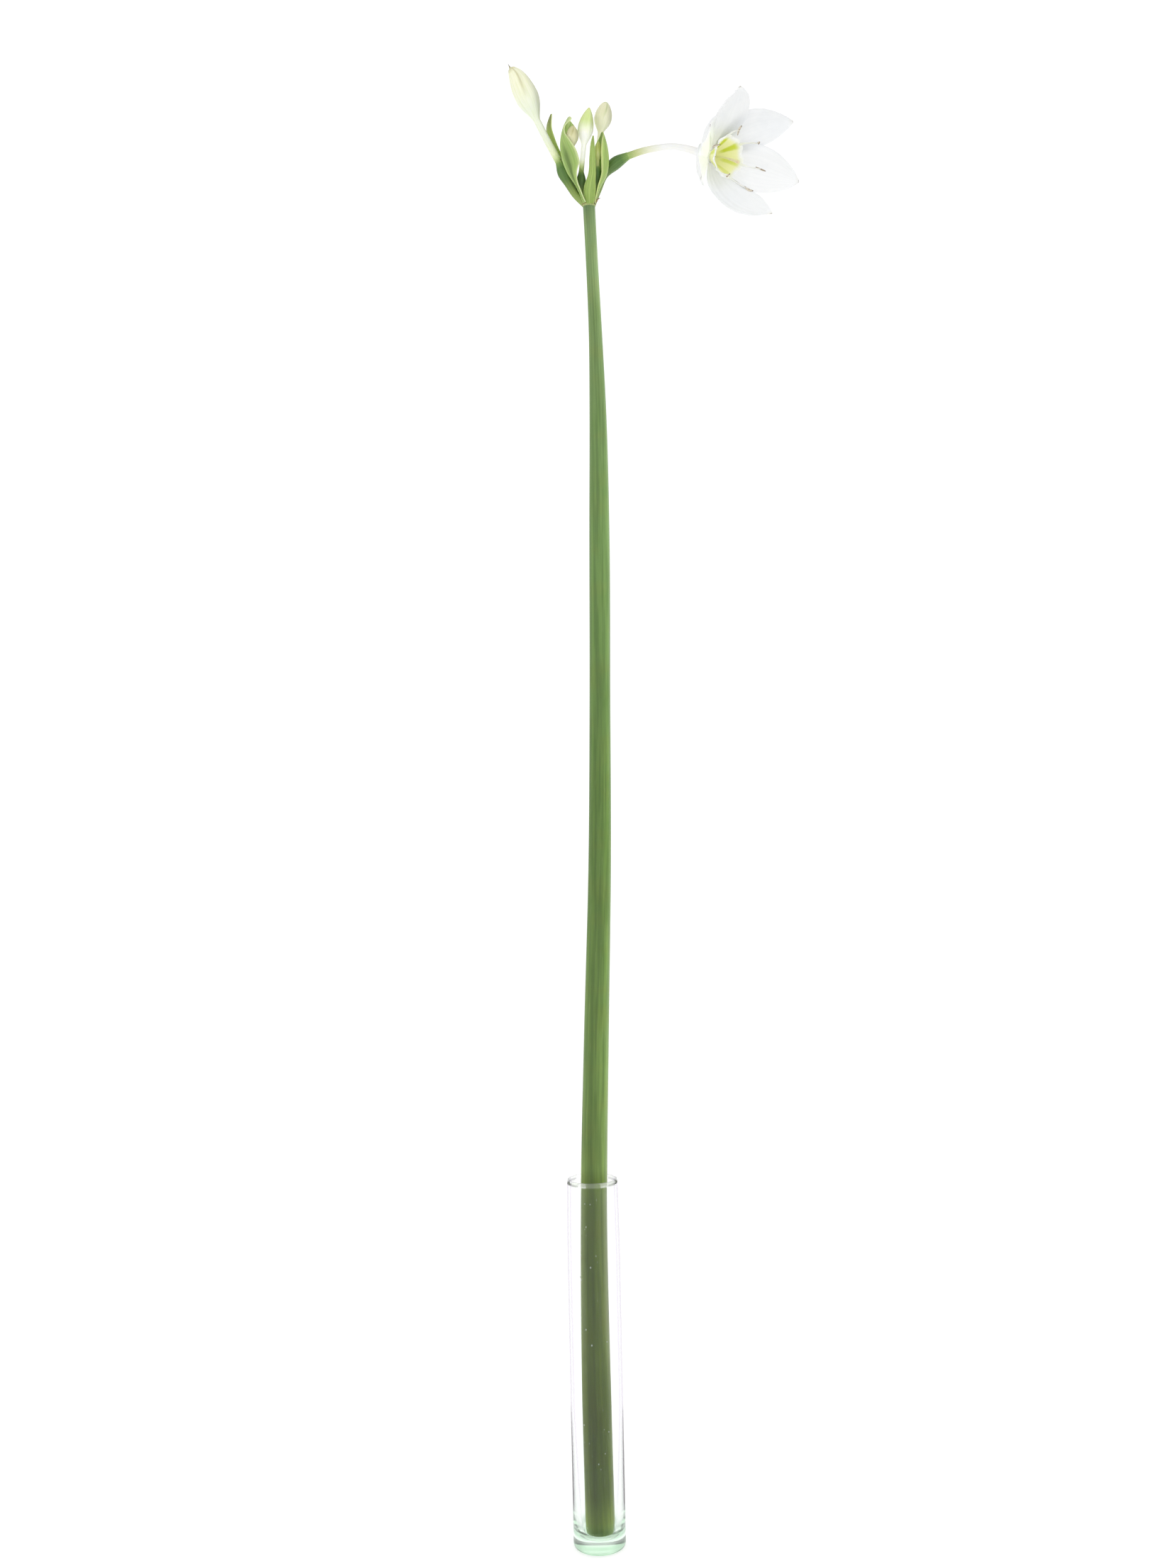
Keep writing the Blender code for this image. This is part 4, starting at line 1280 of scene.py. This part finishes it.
# %% Horn of the largest bud
BUD_HORN = (
    (-31.7, -5.9, 801.8, 0.6), (-32.1, -6.0, 802.6, 0.34), (-32.4, -6.0, 803.2, 0.2),
    (-32.8, -6.0, 804.0, 0.1),
)
HORN_STOPS = graded((0.0, 206, 200, 160), (0.4, 150, 146, 124), (1.0, 140, 138, 128))
HORN_SKIN = streaked_skin("bud_horn_skin", HORN_STOPS, 0.1)
horn = stalk_mesh(smooth_rows(BUD_HORN, 14), HORN_SKIN, sides=14)
piece("bud_1_horn", horn, HORN_SKIN, "bud_1")

# %% [markdown]
# ## Tepals
#
# The open flower has six tepals in two rings. Each follows one rule: it leaves the throat at a
# lean, closes a little towards its tip, turns sideways, is widest at the middle and cups along
# its length. A rule like that suits Geometry Nodes. The tree bends a flat grid, and six sets of
# named inputs give six tepals, no two of them alike.

# %% The flower's own frame
THROAT = (76.4, -8.0, 751.0)
FLOWER_TURN = 42.2
FLOWER_DROOP = 16.3

flower_matrix = (
    Matrix.Translation(Vector(THROAT) * MM)
    @ Matrix.Rotation(radians(FLOWER_TURN), 4, "Z")
    @ Matrix.Rotation(radians(90 + FLOWER_DROOP), 4, "X")
)


def in_flower(mesh):
    """Move a mesh from the flower's own frame to its place."""
    mesh.transform(flower_matrix)
    return mesh


print("the flower faces", tuple(round(v, 2) for v in flower_matrix.to_3x3().col[2]))

# %% The tepal tree
TEPAL_WIDEST = 0.52
TEPAL_GRID = (33, 65)


def tepal_tree():
    sizes = ("Foot turn", "Tip turn", "Lean", "Closing", "Length", "Half width")
    inputs = [(label, "Float", 1.0) for label in sizes]
    inputs += [("Cup", "Float", 0.22), ("Ripple", "Float", 0.0005), ("Wave", "Float", 0.0)]
    tree, start = new_geometry_tree("Tepal", inputs + [("Material", "Material", None)])
    shape = {name: start.out(name) for name, _, _ in inputs}
    across, along = TEPAL_GRID
    counts = {"Size X": 2.0, "Size Y": 1.0, "Vertices X": across, "Vertices Y": along}
    grid = tree.node("GeometryNodeMeshGrid", sockets=counts)
    settings = {"data_type": "FLOAT2", "domain": "CORNER"}
    sockets = {"Geometry": grid, "Name": "UVMap", "Value": grid.out("UV Map")}
    sheet = tree.node("GeometryNodeStoreNamedAttribute", settings, sockets)
    v, y, _ = tree.parts(tree.node("GeometryNodeInputPosition"))
    t = y + 0.5
    rise = (pi / 2 * (t / TEPAL_WIDEST).maths("MINIMUM", 1.0)).sin() ** 1.1
    late = (t - TEPAL_WIDEST) / (1 - TEPAL_WIDEST)
    fall = (pi / 2 * late.maths("MAXIMUM", 0.0)).cos().maths("MAXIMUM", 0.0) ** 0.75
    width = 0.002 * (1 - t) + shape["Half width"] * rise * fall + 0.0002
    slope = shape["Lean"] - shape["Closing"] * t
    bend = shape["Length"] / shape["Closing"]
    radius = 0.0026 + bend * (slope.cos() - shape["Lean"].cos())
    height = -0.0012 + bend * (shape["Lean"].sin() - slope.sin())
    turn = shape["Foot turn"] + (shape["Tip turn"] - shape["Foot turn"]) * t**1.5
    ripple = shape["Ripple"] * v**4.0 * (t * 11.0 + v * 2.0 + shape["Wave"]).sin()
    ripple = ripple * t.fade(0.1, 0.5)
    groove = 0.00035 * v.bell(0.16) * (t * pi).sin()
    folds = 0.00012 * (v * 17.0).cos() * t.fade(0.0, 0.3) * (1 - t).fade(0.0, 0.4)
    lift = shape["Cup"] * width * v**2.0 + ripple - groove + folds
    out = radius - slope.cos() * lift
    aside = v * width
    place = tree.joined(
        turn.cos() * out - turn.sin() * aside,
        turn.sin() * out + turn.cos() * aside,
        height + slope.sin() * lift,
    )
    sheet = tree.node("GeometryNodeSetPosition", sockets={"Geometry": sheet, "Position": place})
    end_tree(tree, sheet, start.out("Material"))
    return tree


TEPAL = tepal_tree()
print("tepal tree has", len(TEPAL.tree.nodes), "nodes")

# %% Tepal skin
TEPAL_STOPS = graded(
    (0.0, 248, 251, 236), (0.14, 248, 250, 247), (0.4, 243, 245, 248),
    (0.94, 242, 245, 247), (0.988, 234, 234, 226), (1.0, 150, 140, 124),
)
TEPAL_FOOT_LIGHT = screen(246, 250, 236)


def tepal_skin(name, glow, painted_grey_shade):
    """Bluish white with painted grey shade, a painted glow at the foot, faint long veins and a
    green-grey point.
    """
    shine = {"Specular IOR Level": 0.25, "Sheen Weight": 0.08, "Emission Strength": glow}
    skin = Finish(name, {**shine, **flesh(0.8, 0.004, blue=1.0)})
    across, along = skin.uv()
    v = across * 2 - 1
    wander = skin.noise(skin.place(), 60.0)
    cells = skin.noise(skin.place(), 1100.0, 2.0)
    veins = ((v * 34.0 + wander * 2.2).sin() * 0.5 + 0.5) ** 3.0
    colour = skin.ramp(along, TEPAL_STOPS)
    # Painted shade: the tepals given a share of it are greyed, short of the tip.
    colour = skin.mix(painted_grey_shade, colour, skin.mix(along.fade(0.9, 1.0), screen(222, 226, 230), colour))
    # Veins are darker, and soft bluish patches are painted shade.
    vein_and_painted_shade = skin.mix(0.6, colour, screen(216, 222, 230))
    colour = skin.mix(0.14 * veins * along.fade(0.0, 0.3), colour, vein_and_painted_shade)
    colour = skin.mix(0.6 * wander.fade(0.45, 0.7), colour, vein_and_painted_shade)
    skin.feed("Base Color", colour)
    # A painted glow at the foot, where light would come through.
    skin.feed("Emission Color", skin.mix((1 - along).fade(0.2, 0.9), BLACK, TEPAL_FOOT_LIGHT))
    skin.feed("Roughness", 0.46 + 0.12 * wander)
    skin.relief(veins * 0.5 + cells * 0.25, 0.00008, 0.3)
    return skin.material


print("the tepals' tips are", TEPAL_STOPS[-1][1][:3])

# %% Six tepals
TEPALS = (
    (97.3, 119.5, 63.2, 31.6, 45.5, 11.5, 0.3), (57.4, 39.6, 71.7, 36.0, 46.0, 10.2, 1.9),
    (-2.4, -8.3, 66.0, 44.4, 48.8, 11.4, 3.1), (-81.0, -49.9, 66.2, 47.6, 45.3, 12.2, 4.4),
    (-160.0, -150.5, 67.9, 36.0, 44.0, 9.2, 5.2), (155.2, 166.0, 64.6, 36.4, 43.5, 8.6, 2.6),
)
TEPAL_WALL = 0.5
# Each tepal's painted glow and its share of painted grey shade.
TEPAL_LOOKS = ((0.04, 0.15), (0.0, 0.3), (0.0, 0.0), (0.0, 0.5), (0.2, 0.0), (0.32, 0.0))
TEPAL_ANGLES = ("Foot turn", "Tip turn", "Lean", "Closing")

TEPAL_SKINS = [tepal_skin(f"tepal_skin_{i}", *look) for i, look in enumerate(TEPAL_LOOKS, 1)]
for number, (*angles, length, half_width, wave) in enumerate(TEPALS, 1):
    skin = TEPAL_SKINS[number - 1]
    values = {name: radians(angle) for name, angle in zip(TEPAL_ANGLES, angles)}
    values |= {"Length": length * MM, "Half width": half_width * MM, "Wave": wave, "Material": skin}
    blank = loose_object("tepal", bpy.data.meshes.new("tepal"))
    sheet = given_wall(grown(blank, TEPAL, values), TEPAL_WALL)
    piece(f"tepal_{number}", in_flower(sheet), skin, "flower")

# %% The flower's tube
FLOWER_TUBE = (
    (31.4, 4.25, 756.9, 1.9), (38.7, 4.1, 759.2, 1.8), (47.2, 3.5, 760.6, 1.75),
    (56.4, 2.2, 760.6, 1.8), (63.6, 0.0, 758.4, 1.95), (69.5, -3.0, 755.2, 2.3),
    (74.4, -6.4, 752.0, 3.0), (76.8, -8.4, 750.8, 3.4),
)
TUBE_STOPS = graded(
    (0.0, 158, 182, 104), (0.10, 202, 210, 152), (0.22, 232, 234, 210), (0.38, 246, 246, 244),
    (1.0, 246, 247, 246),
)
TUBE_SKIN = streaked_skin("flower_tube_skin", TUBE_STOPS, 0.05, flesh(0.3, 0.0015))
tube = stalk_mesh(smooth_rows(FLOWER_TUBE, 60), TUBE_SKIN, sides=36, depth=0.03)
piece("flower_tube", tube, TUBE_SKIN, "flower")

# %% [markdown]
# ## The staminal cup
#
# In the throat the feet of the six stamens are joined into a white cup, striped yellow-green
# inside. We weave it from rings with a toothed rim, give it a thin wall, and let the stripes
# follow the angle round it.

# %% Cup wall
CUP_OUTSIDE = ((2.3, 0.2), (3.4, 1.6), (5.6, 5.0), (8.0, 9.0), (9.9, 12.0), (11.0, 14.0))
CUP_WALL = 0.5
STAMEN_TURN = 49.9
CUP_RING = 144
CUP_STEPS = 40


def cup_mesh():
    """A toothed and slightly fluted cup, woven from rings round the flower's axis."""
    line = smooth_rows([(radius, height, 0.0) for radius, height in CUP_OUTSIDE], CUP_STEPS)
    rows = []
    for i, (radius, height, _) in enumerate(line):
        rim = (i / (CUP_STEPS - 1)) ** 8
        row = []
        for j in range(CUP_RING):
            turn = tau * j / CUP_RING
            beat = 6 * (turn - radians(STAMEN_TURN))
            tooth = 0.9 * cos(beat) - 0.5 * cos(2 * beat)
            wide = radius - CUP_WALL / 2 + 0.12 * cos(beat) * (i / CUP_STEPS)
            lifted = height - CUP_WALL / 2 + rim * (tooth - 1.4)
            row.append((wide * cos(turn), wide * sin(turn), lifted))
        rows.append(row)
    return in_flower(given_wall(woven("cup", rows, closed=True), CUP_WALL))


print("the cup is", 2 * CUP_OUTSIDE[-1][0], "mm wide")

# %% Cup skin
def cup_skin():
    """White outside, and inside a yellow-green stripe below each stamen."""
    skin = Finish("cup_skin", {"Specular IOR Level": 0.3, **flesh(0.35, 0.0012, blue=0.5)})
    across, along = skin.uv()
    turn = across * tau
    stamen = (6.0 * (turn - radians(STAMEN_TURN))).cos()
    grain = skin.noise(skin.place(), 260.0)
    stripe = (stamen + 0.5 * grain).fade(0.1, 1.1) * along.fade(0.05, 0.35)
    stripe = stripe * (1 - along).fade(0.05, 0.3)
    hollow = skin.mix((1 - along).fade(0.08, 0.3), screen(250, 251, 246), screen(250, 250, 196))
    upward = 0.72 + 0.28 * turn.sin()
    colour = skin.mix(stripe * upward, hollow, screen(206, 218, 62))
    fine = ((turn * 60.0).sin() * 0.5 + 0.5) ** 2.0
    colour = skin.mix(fine * 0.1 * (1 - along).fade(0.1, 0.4), colour, screen(196, 204, 100))
    skin.feed("Base Color", colour)
    skin.feed("Roughness", 0.38 + 0.15 * grain)
    skin.relief(fine + grain, 0.00008, 0.4)
    return skin.material


CUP_SKIN = cup_skin()
piece("cup_wall", cup_mesh(), CUP_SKIN, "staminal_cup")

# %% [markdown]
# ## Stamens
#
# Six filaments stand on the rim, each with one long anther balanced on its point. They repeat, so
# a Geometry Nodes tree sets copies of one shape on six points, each turned the way that an
# attribute of the point gives. That tree sets the anthers, and the stalk tree sweeps each filament.

# %% The placing tree
def placing_tree():
    inputs = (("Shape", "Object", None), ("Material", "Material", None))
    tree, start = new_geometry_tree("Shapes on points", inputs)
    source = {"Object": start.out("Shape")}
    shape = tree.node("GeometryNodeObjectInfo", sockets=source, output="Geometry")
    vector = {"data_type": "FLOAT_VECTOR"}
    aim, facing = [
        tree.node("GeometryNodeInputNamedAttribute", vector, {"Name": label})
        for label in ("aim", "facing")
    ]
    align = "FunctionNodeAlignRotationToVector"
    turn = tree.node(align, {"axis": "Z"}, {"Vector": aim})
    roll = {"axis": "X", "pivot_axis": "Z"}
    turn = tree.node(align, roll, {"Rotation": turn, "Vector": facing})
    sockets = {"Points": start.out("Geometry"), "Instance": shape, "Rotation": turn}
    placed = tree.node("GeometryNodeInstanceOnPoints", sockets=sockets)
    end_tree(tree, placed, start.out("Material"))
    return tree


PLACING = placing_tree()


def placed(points, aims, facings, shape_mesh, material):
    """Copies of a shape on points in the flower's frame, each turned to its aim."""
    spots = bpy.data.meshes.new("spots")
    spots.from_pydata([tuple(p) for p in points], [], [])
    marked(spots, "aim", aims, "FLOAT_VECTOR")
    marked(spots, "facing", facings, "FLOAT_VECTOR")
    shape = loose_object("shape", shape_mesh)
    mesh = grown(loose_object("spots", spots), PLACING, {"Shape": shape, "Material": material})
    bpy.data.objects.remove(shape)
    return in_flower(mesh)


print("placing tree has", len(PLACING.tree.nodes), "nodes")

# %% Filaments
FILAMENT_ROOT = (10.4, 12.2)
STAMENS = (
    (49.9, 10.9, 25.2, (-0.61, -0.23, 0.76)),
    (109.9, 13.1, 21.5, (-0.37, 0.64, 0.67)),
    (169.9, 13.5, 15.4, (-0.16, 0.19, 0.97)),
    (229.9, 14.8, 24.2, (-0.54, 0.07, 0.84)),
    (289.9, 16.0, 26.0, (0.1, -0.3, 0.95)),
    (349.9, 16.0, 21.9, (0.27, -0.25, 0.93)),
)
FILAMENT_RADII = ((0.0, 0.85), (0.15, 0.56), (0.4, 0.4), (0.7, 0.34), (1.0, 0.28))


def in_ring(turn, radius, height):
    return Vector((radius * cos(turn), radius * sin(turn), height)) * MM


ends, aims, outs, filaments = [], [], [], []
FILAMENT_STOPS = graded((0.0, 246, 249, 232), (0.4, 248, 249, 246), (1.0, 238, 236, 228))
FILAMENT_SKIN = streaked_skin("filament_skin", FILAMENT_STOPS, 0.02, flesh(0.3, 0.001))
for degrees, out, height, aim in STAMENS:
    turn = radians(degrees)
    root = in_ring(turn, *FILAMENT_ROOT)
    end = in_ring(turn, out, height)
    bow = in_ring(turn, 0.8, 0.0)
    rows = []
    for share, radius in FILAMENT_RADII:
        point = root.lerp(end, share) + bow * sin(pi * share)
        rows.append((*(point / MM), radius))
    filaments.append(stalk_mesh(smooth_rows(rows, 16), FILAMENT_SKIN, sides=12))
    ends.append(end)
    aims.append(aim)
    outs.append(in_ring(turn, 1.0, 0.0))
filament_mesh = in_flower(merged("filaments", filaments))
piece("filaments", filament_mesh, FILAMENT_SKIN, "staminal_cup")

# %% A slim rod
def rod_mesh(length, radii, bend, lobes, ring=14, steps=18):
    """A slim rod up +Z from the origin, with its radii, a bend towards +X and two lobes."""
    rows = []
    for i in range(steps + 1):
        s = i / steps
        radius = np.interp(s, np.linspace(0, 1, len(radii)), radii)
        row = []
        for j in range(ring):
            turn = tau * j / ring
            fat = radius * (1 + lobes * cos(2 * turn))
            aside = bend * sin(pi * s)
            row.append((aside + fat * cos(turn), fat * sin(turn), s * length))
        rows.append(row)
    return outward(woven("rod", rows, closed=True, poles=(True, True)))


print("a rod has two lobes, as an anther has two pollen sacs")

# %% Anthers
ANTHER_LENGTH = 6.6
ANTHER_RADII = (0.15, 0.42, 0.52, 0.55, 0.52, 0.46, 0.2)


def anther_skin():
    """Cream pollen sacs with brown edges and ends."""
    skin = Finish("anther_skin", {"Roughness": 0.75, "Specular IOR Level": 0.2})
    across, along = skin.uv()
    dust = skin.noise(skin.place(), 2200.0)
    blotch = skin.noise(skin.place(), 520.0)
    seam = ((across * tau * 2.0).cos() * 0.5 + 0.5) ** 2.0
    ends = 1 - along.fade(0.0, 0.14) * (1 - along).fade(0.0, 0.14)
    colour = skin.mix(dust, screen(206, 196, 178), screen(236, 228, 210))
    colour = skin.mix(seam * 0.75 * blotch.fade(0.3, 0.55), colour, screen(124, 98, 76))
    colour = skin.mix(ends * 0.7, colour, screen(100, 80, 64))
    skin.feed("Base Color", colour)
    skin.relief(dust, 0.00012, 0.7)
    return skin.material


ANTHER_SKIN = anther_skin()
anther = rod_mesh(ANTHER_LENGTH, ANTHER_RADII, bend=0.7, lobes=0.2)
anther.transform(Matrix.Translation((0.0, 0.0, -0.5 * ANTHER_LENGTH * MM)))
anthers = placed(ends, aims, outs, anther, ANTHER_SKIN)
piece("anthers", anthers, ANTHER_SKIN, "staminal_cup")

# %% Style
STYLE_ROWS = (
    (0.0, 0.0, 1.6, 0.45), (0.0, -0.2, 6.0, 0.42), (0.0, -0.8, 11.0, 0.45), (0.0, -1.3, 13.6, 0.62),
    (0.0, -2.0, 16.8, 0.68), (0.0, -2.6, 19.4, 0.82), (0.0, -2.8, 20.3, 0.6),
)
STYLE_STOPS = graded(
    (0.0, 236, 238, 190), (0.6, 238, 232, 196), (0.92, 238, 228, 190), (1.0, 232, 214, 176),
)
STYLE_SKIN = streaked_skin("style_skin", STYLE_STOPS, 0.1)
style = in_flower(stalk_mesh(smooth_rows(STYLE_ROWS, 48), STYLE_SKIN, sides=18, depth=0.12))
piece("style", style, STYLE_SKIN, "staminal_cup")
